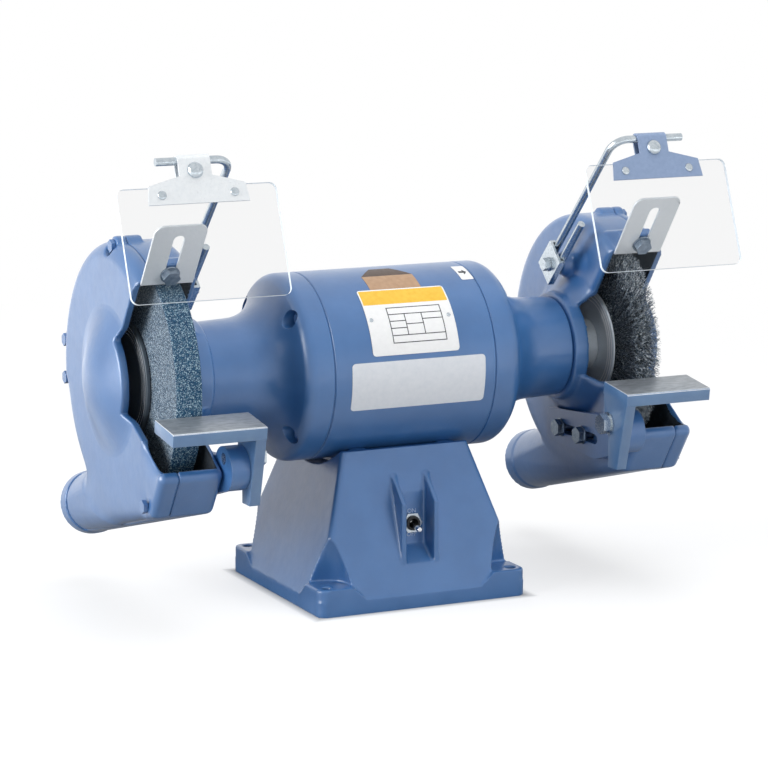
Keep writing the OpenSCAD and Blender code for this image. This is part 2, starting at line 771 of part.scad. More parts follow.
module base_casting() {
  color(guard_blue)
    difference() {
      union() {
        rounded_plate(base_w, base_d, base_corner_r, rim_h);
        pedestal_block(0, ped_top_z);
        corner_pads();
        switch_fins();
        translate([gland_x, pocket_wall_y, gland_h])
          rotate([-90, 0, 0])
          cylinder(r = gland_r * gland_boss_ratio, h = gland_face - pocket_wall_y, $fn = round_fn);
      }
      corner_hollows(0, pad_h);
      switch_pocket();
      motor_trough();
      base_cavity();
      for (sx = [-1, 1], sy = [-1, 1])
        translate([sx * hole_x, sy * hole_y, -overcut])
        cylinder(r = bolt_hole_r, h = pad_h + 2 * overcut, $fn = round_fn);
      for (s = [-1, 1])
        bar_z(s * rib_x, 0, mount_bolt_r + bolt_fit, 0, spindle_h);
      for (sx = [-1, 1], sy = [-1, 1])
        bar_z(sx * bottom_screw_x, sy * mouth_d / 4, bottom_screw_r + bolt_fit, 0, bottom_screw_l);
      translate([0, -base_d / 2, switch_h])
        rotate([-90, 0, 0])
        cylinder(r = bush_r + bolt_fit, h = base_d / 2, $fn = round_fn);
      translate([gland_x, 0, gland_h])
        rotate([-90, 0, 0])
        cylinder(r = gland_r + bolt_fit, h = base_d, $fn = round_fn);
    }
}

module bar_z(x, y, r, z0, z1) {
  translate([x, y, z0])
    cylinder(r = r, h = z1 - z0, $fn = round_fn);
}

module base_bottom_plate() {
  color(dark_steel)
    difference() {
      translate([-mouth_w / 2 - ledge + bolt_fit, -mouth_d / 2 - ledge + bolt_fit, bottom_lift])
        cube([mouth_w + 2 * ledge - 2 * bolt_fit, mouth_d + 2 * ledge - 2 * bolt_fit, bottom_t]);
      for (sx = [-1, 1], sy = [-1, 1])
        bar_z(sx * bottom_screw_x, sy * mouth_d / 4, bottom_screw_r + bolt_fit, 0, spindle_h);
    }
}

module bottom_plate_screws() {
  color(zinc)
    for (sx = [-1, 1], sy = [-1, 1])
      bar_z(sx * bottom_screw_x, sy * mouth_d / 4, bottom_screw_r, bottom_lift, bottom_screw_l);
}

// The switch is drawn lying along +Z and turned to point at the operator.
module at_switch() {
  translate([0, -pocket_back, switch_h])
    rotate([90, 0, 0])
    children();
}

module switch_body() {
  color(black)
    at_switch() {
      difference() {
        union() {
          translate([-switch_w / 2, -switch_tall / 2, -base_wall - slide_gap - switch_deep])
            cube([switch_w, switch_tall, switch_deep]);
          translate([0, 0, -base_wall - slide_gap - overcut])
            cylinder(r = bush_r, h = base_wall + slide_gap + overcut + bush_out, $fn = round_fn);
        }
        translate([0, 0, -lever_pivot_in - lever_ball_r - overcut])
          cylinder(r = bush_bore_r, h = base_wall + lever_ball_r + bush_out, $fn = round_fn);
      }
      for (x = [-1, 0, 1])
        translate([x * switch_w / 3, 0, -base_wall - slide_gap - switch_deep - terminal_l / 2])
        cube([terminal_t, switch_w / 3, terminal_l], center = true);
    }
}

module switch_nut() {
  color(zinc)
    at_switch()
    difference() {
      cylinder(r = bush_r * switch_nut_ratio, h = switch_nut_h, $fn = hex);
      translate([0, 0, -overcut])
        cylinder(r = bush_r + bolt_fit, h = bush_out, $fn = round_fn);
    }
}

module switch_lever() {
  color(bright_steel)
    at_switch()
    translate([0, 0, -lever_pivot_in])
    rotate([lever_drop, 0, 0]) {
      sphere(r = lever_ball_r, $fn = round_fn);
      cylinder(r1 = lever_r, r2 = lever_tip_r, h = lever_len, $fn = round_fn);
      translate([0, 0, lever_len])
        sphere(r = lever_tip_r, $fn = round_fn);
    }
}

module cable_gland() {
  color(black)
    translate([gland_x, gland_face, gland_h])
    rotate([-90, 0, 0])
    difference() {
      union() {
        translate([0, 0, -base_wall * 2])
          cylinder(r = gland_r, h = base_wall * 2, $fn = round_fn);
        cylinder(r = gland_r * gland_boss_ratio * hex_share, h = gland_hex_t, $fn = hex);
        translate([0, 0, gland_hex_t])
          cylinder(r1 = gland_r * gland_nose_ratio, r2 = gland_r, h = gland_nose_l, $fn = round_fn);
      }
      translate([0, 0, -base_wall * 2 - overcut])
        cylinder(r = gland_bore_r, h = base_d, $fn = round_fn);
    }
}

module start_capacitor() {
  color(black)
    translate([-capacitor_l / 2, capacitor_y, bottom_lift + bottom_t + capacitor_r + slide_gap])
    rotate([0, 90, 0])
    cylinder(r = capacitor_r, h = capacitor_l, $fn = round_fn);
}

module motor_mount_bolts() {
  color(dark_steel)
    for (s = [-1, 1]) {
      bar_z(s * rib_x, 0, mount_bolt_r, bolt_low_z, frame_low_z + frame_wall - overcut);
      translate([s * rib_x, 0, bolt_low_z - 2 * mount_bolt_r * head_ratio])
        cylinder(r = mount_bolt_r * head_af_ratio / cos(30), h = 2 * mount_bolt_r * head_ratio, $fn = hex);
    }
}

// Places of the four screws of an end bell, seen along the spindle.
function bell_screw_at(i) = bell_screw_pcr * [cos(45 + 90 * i), sin(45 + 90 * i)];

module motor_frame() {
  color(guard_blue)
    difference() {
      union() {
        turned([
          [frame_in_r, -frame_half],
          [motor_r - seam_cut, -frame_half],
          [motor_r, -frame_half + seam_cut],
          [motor_r, frame_half - seam_cut],
          [motor_r - seam_cut, frame_half],
          [frame_in_r, frame_half]
        ]);
        both_sides()
          for (i = [0 : 3])
            bar_x(bell_screw_at(i), frame_lug_r, frame_half - frame_lug_l, frame_half);
      }
      both_sides()
        for (i = [0 : 3])
          bar_x(bell_screw_at(i), bell_screw_r + bolt_fit,
            frame_half - frame_lug_l - overcut, frame_half + overcut);
      for (s = [-1, 1])
        bar_z(s * rib_x, 0, mount_bolt_r + bolt_fit, 0, frame_low_z + frame_wall - overcut / 2);
    }
}

module stator_core() {
  color(dark_steel)
    turned([
      [rotor_r + air_gap, -stack_half],
      [frame_in_r - fit, -stack_half],
      [frame_in_r - fit, stack_half],
      [rotor_r + air_gap, stack_half]
    ]);
}

module stator_windings() {
  color([0.62, 0.33, 0.16])
    both_sides()
    turned([
      [rotor_r + winding_in, stack_half],
      [frame_in_r - winding_in, stack_half],
      [frame_in_r - winding_in, stack_half + winding_l - winding_in],
      [frame_in_r - 2 * winding_in, stack_half + winding_l],
      [rotor_r + 2 * winding_in, stack_half + winding_l],
      [rotor_r + winding_in, stack_half + winding_l - winding_in]
    ]);
}

module rotor_core() {
  color(dark_steel)
    turned([
      [shaft_r + fit, -stack_half],
      [rotor_r * end_ring_ratio, -stack_half],
      [rotor_r * end_ring_ratio, -stack_half - end_ring_l],
      [rotor_r - overcut, -stack_half - end_ring_l],
      [rotor_r, -stack_half],
      [rotor_r, stack_half],
      [rotor_r - overcut, stack_half + end_ring_l],
      [rotor_r * end_ring_ratio, stack_half + end_ring_l],
      [rotor_r * end_ring_ratio, stack_half],
      [shaft_r + fit, stack_half]
    ]);
}

module spindle_shaft() {
  color(bright_steel)
    turned([
      [0, -arbor_end],
      [arbor_r - overcut, -arbor_end],
      [arbor_r, -arbor_end + overcut],
      [arbor_r, -arbor_x],
      [seat_r, -arbor_x],
      [seat_r, -bearing_x],
      [shaft_r, -bearing_x],
      [shaft_r, bearing_x],
      [seat_r, bearing_x],
      [seat_r, arbor_x],
      [arbor_r, arbor_x],
      [arbor_r, arbor_end - overcut],
      [arbor_r - overcut, arbor_end],
      [0, arbor_end]
    ]);
}

module end_bell() {
  color(guard_blue)
    difference() {
      turned(concat(
        [[bell_inner_r, frame_half], [motor_r - seam_cut, frame_half], [motor_r, frame_half + seam_cut]],
        turned_arc(shoulder_x, motor_r - shoulder_r, shoulder_r, 90, sweep_a),
        turned_arc(neck_x, neck_r + sweep_r, sweep_r, 180 + sweep_a, 270),
        [
          [snout_r, bell_end - seam_cut],
          [snout_r - seam_cut, bell_end],
          [bell_bore_r, bell_end],
          [bell_bore_r, bearing_end],
          [bearing_r + fit, bearing_end],
          [bearing_r + fit, bearing_x - overcut],
          [bell_throat_r, bearing_x - overcut],
          [bell_throat_r, bell_throat_x],
          [bell_inner_r, bell_inner_x]
        ]
      ));
      for (i = [0 : 3]) {
        bar_x(bell_screw_at(i), screw_pocket_r, screw_seat_x, bell_end);
        bar_x(bell_screw_at(i), bell_screw_r + bolt_fit, frame_half - overcut, bell_end);
        bar_x(guard_screw_at(i), guard_screw_r + bolt_fit, bearing_end, bell_end + overcut);
      }
    }
}

module right_end_bell() end_bell();

module left_end_bell() mirror([1, 0, 0]) end_bell();

module end_bell_screws() {
  color(zinc)
    both_sides()
    for (i = [0 : 3])
      hex_bolt_x(bell_screw_at(i), bell_screw_r, screw_seat_x,
        frame_half - frame_lug_l, 1);
}

module bearing_outer_rings() {
  color(bright_steel)
    both_sides()
    turned([
      [race_r + ball_fit_r, bearing_x],
      [bearing_r, bearing_x],
      [bearing_r, bearing_end],
      [race_r + ball_fit_r, bearing_end]
    ]);
}

module bearing_inner_rings() {
  color(bright_steel)
    both_sides()
    turned([
      [seat_r + fit, bearing_x],
      [race_r - ball_fit_r, bearing_x],
      [race_r - ball_fit_r, bearing_end],
      [seat_r + fit, bearing_end]
    ]);
}

module bearing_balls() {
  color(bright_steel)
    both_sides()
    for (i = [0 : ball_count - 1])
      translate([bearing_x + bearing_w / 2, 0, spindle_h])
      rotate([360 * i / ball_count, 0, 0])
      translate([0, 0, race_r])
      sphere(r = ball_r, $fn = round_fn);
}

// Places of the four screws that hold a guard to its end bell.
function guard_screw_at(i) = guard_screw_pcr * [cos(90 * i), sin(90 * i)];

module duct_frame() {
  translate([guard_mid, duct_y, spindle_h - duct_z])
    rotate([-90 - duct_tilt, 0, 0])
    children();
}

// A corner of the tray: a ball at each side of the guard.
module tray_corner(y, z) {
  r = tray_edge_r;
  for (x = [guard_x + r, guard_end - r])
    translate([x, y, spindle_h - z])
    sphere(r = r, $fn = hull_fn);
}

// Tray and exhaust tube in one form, square at the front and round at the rear.
module duct_form() {
  e = tray_edge_r;
  hull() {
    tray_corner(-tray_y + e, tray_z + e);
    tray_corner(-tray_low_y + e, tray_low_z - e);
    tray_corner(-tray_y * tray_mid_share, tray_z * tray_mid_share + e);
    duct_frame()
      translate([0, 0, -collar_l - overcut])
      cylinder(r = duct_r - overcut, h = 2 * overcut, $fn = hull_fn * 2);
  }
}

// The hollow inside the tray and the tube.
module duct_hollow() {
  inner = guard_w - 2 * guard_wall;
  lean = duct_wall + overcut;
  hull() {
    for (p = [[tray_y - lean, tray_z], [tray_low_y - lean, tray_low_z - guard_wall], [tray_y / 2, tray_z]])
      translate([guard_x + guard_wall, -p[0], spindle_h - p[1]])
      cube([inner, thin, thin]);
    duct_frame()
      translate([0, 0, -collar_l - overcut])
      cylinder(r = duct_r - duct_wall - overcut, h = 2 * overcut, $fn = hull_fn * 2);
  }
  slab_x(guard_x + guard_wall + thin, guard_end - guard_wall - thin)
    polygon([
      [-tray_y + lean + overcut, -tray_z - tray_edge_r / 2],
      [-tray_y + lean + overcut, -tray_z + 2 * tray_edge_r],
      [-tray_y / 2, 0],
      [-tray_y / 2, -tray_z - tray_edge_r / 2]
    ]);
  duct_frame()
    translate([0, 0, -collar_l])
    cylinder(r = duct_r - duct_wall, h = collar_l + overcut, $fn = turn_fn);
}

// The wedge in front of the wheel, up to the hub.
module guard_opening() {
  slab_x(bell_end - overcut, dome_end + overcut)
    difference() {
      polygon([
        [0, 0],
        reach * [cos(spark_a), sin(spark_a)],
        reach * [cos((spark_a + tray_a) / 2), sin((spark_a + tray_a) / 2)],
        reach * [cos(tray_a), sin(tray_a)]
      ]);
      circle(hub_r, $fn = turn_fn);
    }
}

// The round hollow for the wheel, from the hub to the inside of the dome.
module wheel_hollow() {
  w = guard_wall;
  turned(concat(
    [[0, hub_in], [hub_r - w, hub_in], [flare_r - w / 2, guard_x + w]],
    turned_arc(guard_x + guard_edge_r, guard_r - guard_edge_r, guard_edge_r - w, 180, 90),
    turned_arc(guard_end - cover_edge_r, guard_r - cover_edge_r, cover_edge_r - w, 90, 0),
    [
      [flare_r - w / 2, guard_end - w],
      [hub_r - w, guard_end - w + dome_h * dome_foot_share],
      [dome_top_r - w / 2, dome_end - w],
      [0, dome_end - w]
    ]
  ));
}

module guard_ears(x0, x1) {
  for (i = [0 : 2])
    bar_x(cover_bolts_at[i], ear_r, x0, x1);
}

module tray_boss(x0, x1) {
  bar_x(cover_bolts_at[3], ear_r, x0, x1);
}

module cover_bolt_holes(x0, x1) {
  for (p = cover_bolts_at)
    bar_x(p, cover_bolt_r + bolt_fit, x0, x1);
}

// Places on the guard are drawn from the spindle, with +Z along the opening's upper edge.
module spark_frame() {
  translate([0, 0, spindle_h])
    rotate([spark_a - 90, 0, 0])
    children();
}

module spark_lug() {
  spark_frame()
    translate([guard_x + guard_wall, 0, 0])
    rotate([90, 0, 90])
    linear_extrude(guard_body_w - guard_wall - overcut)
    polygon([
      [thin, spark_low - lug_in],
      [thin, spark_bolt_z + spark_bolt_r * 2],
      [lug_t / 2, spark_bolt_z + spark_bolt_r * 2],
      [lug_t * lug_foot_ratio, guard_r - lug_in],
      [lug_t * lug_foot_ratio, spark_low - lug_in]
    ]);
}

module guard_body() {
  color(guard_blue)
    difference() {
      union() {
        difference() {
          union() {
            turned(concat(
              [
                [0, bell_end],
                [hub_r - seam_cut, bell_end],
                [hub_r, bell_end + seam_cut],
                [hub_r + seam_cut, hub_in],
                [flare_r, guard_x]
              ],
              turned_arc(guard_x + guard_edge_r, guard_r - guard_edge_r, guard_edge_r, 180, 90),
              [[guard_r, seam_x], [0, seam_x]]
            ));
            intersection() {
              duct_form();
              translate([guard_x - overcut, -reach / 2, 0])
                cube([guard_body_w + overcut, reach, spindle_h]);
            }
            guard_ears(seam_x - ear_t * ear_ratio, seam_x);
            duct_frame()
              translate([0, 0, -collar_l])
              cylinder(r = duct_r, h = collar_l, $fn = turn_fn);
          }
          wheel_hollow();
          duct_hollow();
          guard_opening();
        }
        spark_lug();
        tray_boss(guard_x + guard_wall, seam_x);
        bar_x([arm_y, arm_z], arm_boss_r, arm_boss_x, guard_x + guard_wall);
        bar_x([arm_y - wall_pad_y, arm_z + wall_pad_z], wall_pad_r, guard_x - washer_t, guard_x + guard_wall);
      }
      cover_bolt_holes(seam_x - ear_t * ear_ratio + overcut, seam_x + overcut);
      bar_x([arm_y, arm_z], arm_bolt_r + bolt_fit, arm_boss_x - overcut, guard_x + guard_wall - overcut);
      for (i = [0 : 1])
        bar_x(bracket_bolt_at(i), bracket_bolt_r + bolt_fit,
          guard_x - overcut, guard_x + guard_wall + overcut);
      for (i = [0 : 3])
        bar_x(guard_screw_at(i), guard_screw_r + bolt_fit,
          bell_end - overcut, hub_in + overcut);
      bar_x([0, 0], hub_hole_r, bell_end - overcut, hub_in + overcut);
      spark_frame()
        translate([guard_mid, -overcut, spark_bolt_z])
        rotate([-90, 0, 0])
        cylinder(r = spark_bolt_r + bolt_fit, h = lug_t, $fn = round_fn);
    }
}

module right_guard_body() guard_body();

module left_guard_body() mirror([1, 0, 0]) guard_body();

module guard_cover() {
  from = seam_x + seam_gap;
  color(guard_blue)
    difference() {
      union() {
        difference() {
          union() {
            turned(concat(
              [[0, from], [guard_r, from]],
              turned_arc(guard_end - cover_edge_r, guard_r - cover_edge_r, cover_edge_r, 90, 0),
              [
                for (i = [0 : 2 * arc_steps])
                  let (s = i / arc_steps / 2)
                  [flare_r * (1 - s), guard_end + dome_h * (1 - cos(180 * pow(s, dome_fullness))) / 2]
              ]
            ));
            intersection() {
              duct_form();
              translate([from, -reach / 2, 0])
                cube([guard_w, reach, spindle_h]);
            }
            guard_ears(from, seam_x + ear_t);
          }
          wheel_hollow();
          duct_hollow();
          guard_opening();
          duct_frame()
            translate([0, 0, -collar_l - seam_gap])
            cylinder(r = duct_r * 2, h = reach, $fn = turn_fn);
        }
        tray_boss(from, guard_end - overcut);
      }
      cover_bolt_holes(seam_x, dome_end);
      for (i = [0 : 2])
        bar_x(cover_bolts_at[i], ear_r, seam_x + ear_t, dome_end);
    }
}

module right_guard_cover() guard_cover();

module left_guard_cover() mirror([1, 0, 0]) guard_cover();

module cover_bolts() {
  color(dark_steel)
    both_sides()
    for (p = cover_bolts_at)
      hex_bolt_x(p, cover_bolt_r, p[2], seam_x - ear_t * ear_ratio + overcut, 1);
}

module guard_mount_screws() {
  color(dark_steel)
    both_sides()
    for (i = [0 : 3])
      hex_bolt_x(guard_screw_at(i), guard_screw_r, hub_in, bearing_end + overcut, 1);
}

module spark_guard_bolts() {
  head = 2 * spark_bolt_r * head_ratio;
  color(zinc)
    both_sides()
    spark_frame()
    translate([guard_mid, -spark_t - slide_gap, spark_bolt_z])
    rotate([-90, 0, 0]) {
      cylinder(r = spark_bolt_r, h = lug_t, $fn = round_fn);
      translate([0, 0, -washer_t])
        cylinder(r = spark_bolt_r * washer_ratio, h = washer_t, $fn = round_fn);
      translate([0, 0, -washer_t - head])
        cylinder(r = spark_bolt_r * head_af_ratio / cos(30), h = head, $fn = hex);
    }
}

module spark_guard() {
  slot_r = spark_slot_w / 2;
  color(zinc)
    spark_frame()
    translate([guard_mid, 0, spark_low])
    rotate([90, 0, 0])
    translate([0, 0, slide_gap / 2])
    linear_extrude(spark_t)
    difference() {
      union() {
        translate([-spark_w / 2, 0])
          square([spark_w, spark_l - spark_corner_r]);
        translate([-spark_w / 2 + spark_corner_r, 0])
          square([spark_w - 2 * spark_corner_r, spark_l]);
        for (s = [-1, 1])
          translate([s * (spark_w / 2 - spark_corner_r), spark_l - spark_corner_r])
          circle(spark_corner_r, $fn = round_fn);
      }
      translate([-slot_r, spark_slot_in + slot_r])
        square([spark_slot_w, spark_slot_l - spark_slot_w]);
      for (y = [spark_slot_in + slot_r, spark_slot_in + spark_slot_l - slot_r])
        translate([0, y])
        circle(slot_r, $fn = round_fn);
    }
}

module right_spark_guard() spark_guard();

module left_spark_guard() mirror([1, 0, 0]) spark_guard();

// Places on an arm are drawn from its pivot, with +Z along its legs.
module arm_frame() {
  translate([arm_x, arm_y, spindle_h + arm_z])
    rotate([arm_a - 90, 0, 0])
    children();
}

module rod_z_bar(y, z0, z1) {
  translate([0, y, z0])
    cylinder(r = rod_r, h = z1 - z0, $fn = round_fn);
}

// One bent rod: short leg, loop round the pivot, long leg, bend and cross rod.
module shield_arm() {
  color(zinc)
    arm_frame() {
      rod_z_bar(-loop_r, 0, arm_short_l);
      rod_z_bar(loop_r, 0, arm_l - bend_r);
      rotate([0, 90, 0])
        rotate([0, 0, -90])
        rotate_extrude(angle = 180, $fn = turn_fn)
        translate([loop_r, 0])
        circle(rod_r, $fn = round_fn);
      translate([bend_r, loop_r, arm_l - bend_r])
        rotate([90, 0, 0])
        rotate([0, 0, 90])
        rotate_extrude(angle = 90, $fn = turn_fn)
        translate([bend_r, 0])
        circle(rod_r, $fn = round_fn);
      translate([bend_r, loop_r, arm_l])
        rotate([0, 90, 0])
        cylinder(r = rod_r, h = rod_end - arm_x - bend_r, $fn = round_fn);
    }
}

module right_shield_arm() shield_arm();

module left_shield_arm() mirror([1, 0, 0]) shield_arm();

// A plate over both legs, with a lip along each, held by the pivot bolt.
module arm_clamp() {
  half = clamp_half + clamp_t;
  color(zinc)
    arm_frame()
    difference() {
      translate([-rod_r - slide_gap - clamp_t, -half, -clamp_foot])
        cube([clamp_t + rod_r + slide_gap, 2 * half, clamp_foot + clamp_high]);
      translate([-rod_r - slide_gap, -clamp_half, -clamp_foot - overcut])
        cube([clamp_t + 2 * rod_r, 2 * clamp_half, clamp_foot + clamp_high + 2 * overcut]);
      translate([-reach / 2, 0, 0])
        rotate([0, 90, 0])
        cylinder(r = arm_bolt_r + bolt_fit, h = reach, $fn = round_fn);
    }
}

module right_arm_clamp() arm_clamp();

module left_arm_clamp() mirror([1, 0, 0]) arm_clamp();

module arm_clamp_bolts() {
  seat = clamp_x - clamp_t - slide_gap - washer_t;
  color(zinc)
    both_sides() {
      hex_bolt_x([arm_y, arm_z], arm_bolt_r, seat, guard_x + guard_wall - 2 * overcut, -1);
      bar_x([arm_y, arm_z], arm_bolt_r * washer_ratio, seat, seat + washer_t);
    }
}

// Places on a shield are drawn from the cross rod, with -Z down the panel.
module shield_frame() {
  translate([shield_x, rod_y, spindle_h + rod_z])
    rotate([-shield_tilt, 0, 0])
    children();
}

module bar_y(x, z, r, y0, y1) {
  translate([x, y0, z])
    rotate([-90, 0, 0])
    cylinder(r = r, h = y1 - y0, $fn = round_fn);
}

module shield_panel() {
  color([0.85, 0.90, 0.95, 0.35])
    shield_frame()
    difference() {
      translate([0, -roll_in + panel_t, -panel_drop - panel_h / 2])
        rotate([90, 0, 0])
        rounded_plate(panel_w, panel_h, panel_corner_r, panel_t);
      for (s = [-1, 1])
        bar_y(s * rivet_pitch / 2, -rivet_z, rivet_r + bolt_fit, -reach / 2, reach / 2);
    }
}

module right_shield_panel() shield_panel();

module left_shield_panel() mirror([1, 0, 0]) shield_panel();

module shield_bracket() {
  shoulder = bracket_h - band_h;
  color([0.62, 0.67, 0.78])
    shield_frame()
    difference() {
      union() {
        translate([0, -roll_in, 0])
          rotate([90, 0, 0])
          linear_extrude(sheet_t)
          polygon([
            [-tab_w / 2, 0],
            [tab_w / 2, 0],
            [tab_w / 2, -clamp_drop - tab_under],
            [bracket_w / 2 - band_slant, -shoulder],
            [bracket_w / 2, -bracket_h],
            [-bracket_w / 2, -bracket_h],
            [-bracket_w / 2 + band_slant, -shoulder],
            [-tab_w / 2, -clamp_drop - tab_under]
          ]);
        translate([-tab_w / 2, roll_in, -tab_l])
          cube([tab_w, sheet_t, tab_l]);
        difference() {
          translate([-tab_w / 2, 0, 0])
            rotate([0, 90, 0])
            cylinder(r = roll_out, h = tab_w, $fn = turn_fn);
          translate([-tab_w, 0, 0])
            rotate([0, 90, 0])
            cylinder(r = roll_in, h = 2 * tab_w, $fn = turn_fn);
          translate([-tab_w, -tab_w, -2 * tab_w])
            cube(2 * tab_w);
        }
      }
      for (s = [-1, 1])
        bar_y(s * rivet_pitch / 2, -rivet_z, rivet_r + bolt_fit, -reach / 2, 0);
      bar_y(0, -clamp_drop, clamp_shank_r + bolt_fit, -reach / 2, reach / 2);
    }
}

module right_shield_bracket() shield_bracket();

module left_shield_bracket() mirror([1, 0, 0]) shield_bracket();

// A low dome with its flat side at y, standing towards the operator when turn is 1.
module dome_y(x, z, r, h, y, turn) {
  translate([x, y, z])
    rotate([turn * 90, 0, 0])
    rotate_extrude($fn = round_fn)
    polygon(concat([[0, 0]], [
      for (i = [0 : arc_steps])
        [r * cos(90 * i / arc_steps), h * sin(90 * i / arc_steps)]
    ]));
}

module shield_rivets() {
  color(bright_steel)
    shield_frame()
    for (s = [-1, 1]) {
      bar_y(s * rivet_pitch / 2, -rivet_z, rivet_r, -roll_out, -roll_in + panel_t);
      dome_y(s * rivet_pitch / 2, -rivet_z, rivet_head_r, rivet_head_t, -roll_out, 1);
      dome_y(s * rivet_pitch / 2, -rivet_z, rivet_head_r, rivet_head_t, -roll_in + panel_t, -1);
    }
}

module right_shield_rivets() shield_rivets();

module left_shield_rivets() mirror([1, 0, 0]) shield_rivets();

module shield_screw() {
  color(bright_steel)
    shield_frame() {
      dome_y(0, -clamp_drop, clamp_head_r, clamp_head_h, -roll_out, 1);
      bar_y(0, -clamp_drop, clamp_shank_r, -roll_out, roll_out + clamp_nut_h + overcut);
      translate([0, roll_out + clamp_nut_h, -clamp_drop])
        rotate([90, 0, 0])
        cylinder(r = clamp_shank_r * washer_ratio, h = clamp_nut_h, $fn = hex);
    }
}

module right_shield_screw() shield_screw();

module left_shield_screw() mirror([1, 0, 0]) shield_screw();

module tool_rest() {
  color(guard_blue)
    difference() {
      union() {
        translate([rest_x, -rest_back, spindle_h - rest_z])
          rotate([rest_tilt, 0, 0])
          rotate([90, 0, 90])
          linear_extrude(rest_w)
          polygon([
            [-rest_d, -rest_t],
            [0, -rest_t],
            [0, -rest_cut],
            [-rest_cut, 0],
            [-rest_d + rest_cut, 0],
            [-rest_d, -rest_cut]
          ]);
        slab_x(rest_x, leg_out)
          polygon([
            [-pivot_y + leg_foot - leg_w, -pivot_z - leg_low],
            [-pivot_y + leg_foot, -pivot_z - leg_low],
            [-pivot_y + leg_foot, -pivot_z - 2 * pivot_r],
            [-pivot_y + 2 * pivot_r, -pivot_z],
            [-rest_back, -rest_z - rest_t / 2],
            [-rest_back - rest_d * leg_share, -rest_z - rest_t / 2 - rest_d * leg_share * sin(rest_tilt)]
          ]);
      }
      bar_x([-pivot_y, -pivot_z], pivot_r + fit, rest_x - overcut, leg_out + overcut);
    }
}

module right_tool_rest() tool_rest();

module left_tool_rest() mirror([1, 0, 0]) tool_rest();

// Places of the two bolts in a bracket's slot, from the rear one forward.
function bracket_bolt_at(i) = [bracket_bolt_y - i * bracket_bolt_pitch, -bracket_bolt_z];

module rest_bracket() {
  slot_r = bracket_bolt_r + 2 * bolt_fit;
  slot_rear = bracket_bolt_y + rest_travel_out;
  slot_front = bracket_bolt_y - bracket_bolt_pitch - rest_travel_in - slot_over;
  low = -bracket_bolt_z - plate_tall / 2;
  high = -bracket_bolt_z + plate_tall / 2;
  color(guard_blue)
    difference() {
      union() {
        slab_x(plate_x, guard_x - slide_gap) {
          polygon([
            [plate_rear, low + plate_bevel],
            [plate_rear, high],
            [-pivot_y + knuckle_r, -pivot_z],
            [-pivot_y, -pivot_z - knuckle_drop - knuckle_r],
            [slot_front, low - plate_belly],
            [plate_rear - plate_bevel, low]
          ]);
          translate([-pivot_y, -pivot_z - knuckle_drop])
            circle(knuckle_r, $fn = turn_fn);
        }
        bar_x([-pivot_y, -pivot_z - knuckle_drop], knuckle_r, knuckle_x, plate_x + overcut);
      }
      slab_x(plate_x - overcut, guard_x + overcut) {
        translate([slot_front, -bracket_bolt_z - slot_r])
          square([slot_rear - slot_front, 2 * slot_r]);
        translate([slot_front, -bracket_bolt_z])
          circle(slot_r, $fn = round_fn);
        translate([slot_rear, -bracket_bolt_z])
          circle(slot_r, $fn = round_fn);
      }
      bar_x([-pivot_y, -pivot_z], pivot_r + bolt_fit, knuckle_x - overcut, guard_x + overcut);
      turned([
        [0, hub_in],
        [hub_r + seam_cut + rest_travel_out, hub_in],
        [flare_r + rest_travel_out, guard_x],
        [0, guard_x]
      ]);
    }
}

module right_rest_bracket() rest_bracket();

module left_rest_bracket() mirror([1, 0, 0]) rest_bracket();

module pivot_bolt() {
  seat = rest_x - slide_gap - 2 * washer_t;
  color(zinc) {
    hex_bolt_x([-pivot_y, -pivot_z], pivot_r, seat, guard_x - slide_gap - overcut, -1);
    bar_x([-pivot_y, -pivot_z], pivot_r * head_af_ratio, seat, seat + washer_t);
    bar_x([-pivot_y, -pivot_z], pivot_r * washer_ratio, seat + washer_t, seat + 2 * washer_t);
  }
}

module right_pivot_bolt() pivot_bolt();

module left_pivot_bolt() mirror([1, 0, 0]) pivot_bolt();

module bracket_bolts() {
  seat = plate_x - slide_gap - washer_t;
  color(dark_steel)
    both_sides()
    for (i = [0 : 1]) {
      hex_bolt_x(bracket_bolt_at(i), bracket_bolt_r, seat, guard_x + guard_wall, -1);
      bar_x(bracket_bolt_at(i), bracket_bolt_r * washer_ratio, seat, seat + washer_t);
    }
}

// A ring on the arbor with a small cut at its rim, for the wheel side given by mirror.
module arbor_ring(r, x0, x1, cut) {
  turned([
    [arbor_r + fit, x0],
    [r - cut, x0],
    [r, x0 + cut],
    [r, x1 - cut],
    [r - cut, x1],
    [arbor_r + fit, x1]
  ]);
}

module grinding_wheel() {
  color([0.30, 0.40, 0.50])
    mirror([1, 0, 0])
    arbor_ring(wheel_r, wheel_in, wheel_out, rim_cut);
}

module wheel_blotters() {
  color(black)
    mirror([1, 0, 0]) {
      arbor_ring(flange_r - rim_cut, wheel_in - blotter_t, wheel_in, slide_gap);
      arbor_ring(flange_r - rim_cut, wheel_out, wheel_out + blotter_t, slide_gap);
    }
}

// A flange with turned grooves near its rim; x0 is the side that meets the wheel.
module outer_flange(x0) {
  grooves = [for (i = [0 : 2]) flange_r - groove_w * (2 * i + 2)];
  turned(concat(
    [
      [arbor_r + fit, x0],
      [flange_r, x0],
      [flange_r, x0 + flange_t / 2],
      [flange_r - groove_w, x0 + flange_t / 2 + groove_w / 2]
    ],
    [
      for (g = grooves, p = [[0, 0], [0, -groove_d], [-groove_w, -groove_d], [-groove_w, 0]])
        [g + p[0], x0 + flange_t / 2 + groove_w / 2 + p[1]]
    ],
    [
      [nut_af / 2 + 2 * groove_w, x0 + flange_t],
      [arbor_r + fit, x0 + flange_t]
    ]
  ));
}

module outer_flanges() {
  color(dark_steel) {
    mirror([1, 0, 0])
      outer_flange(wheel_out + blotter_t);
    outer_flange(brush_out + brush_plate_t);
  }
}

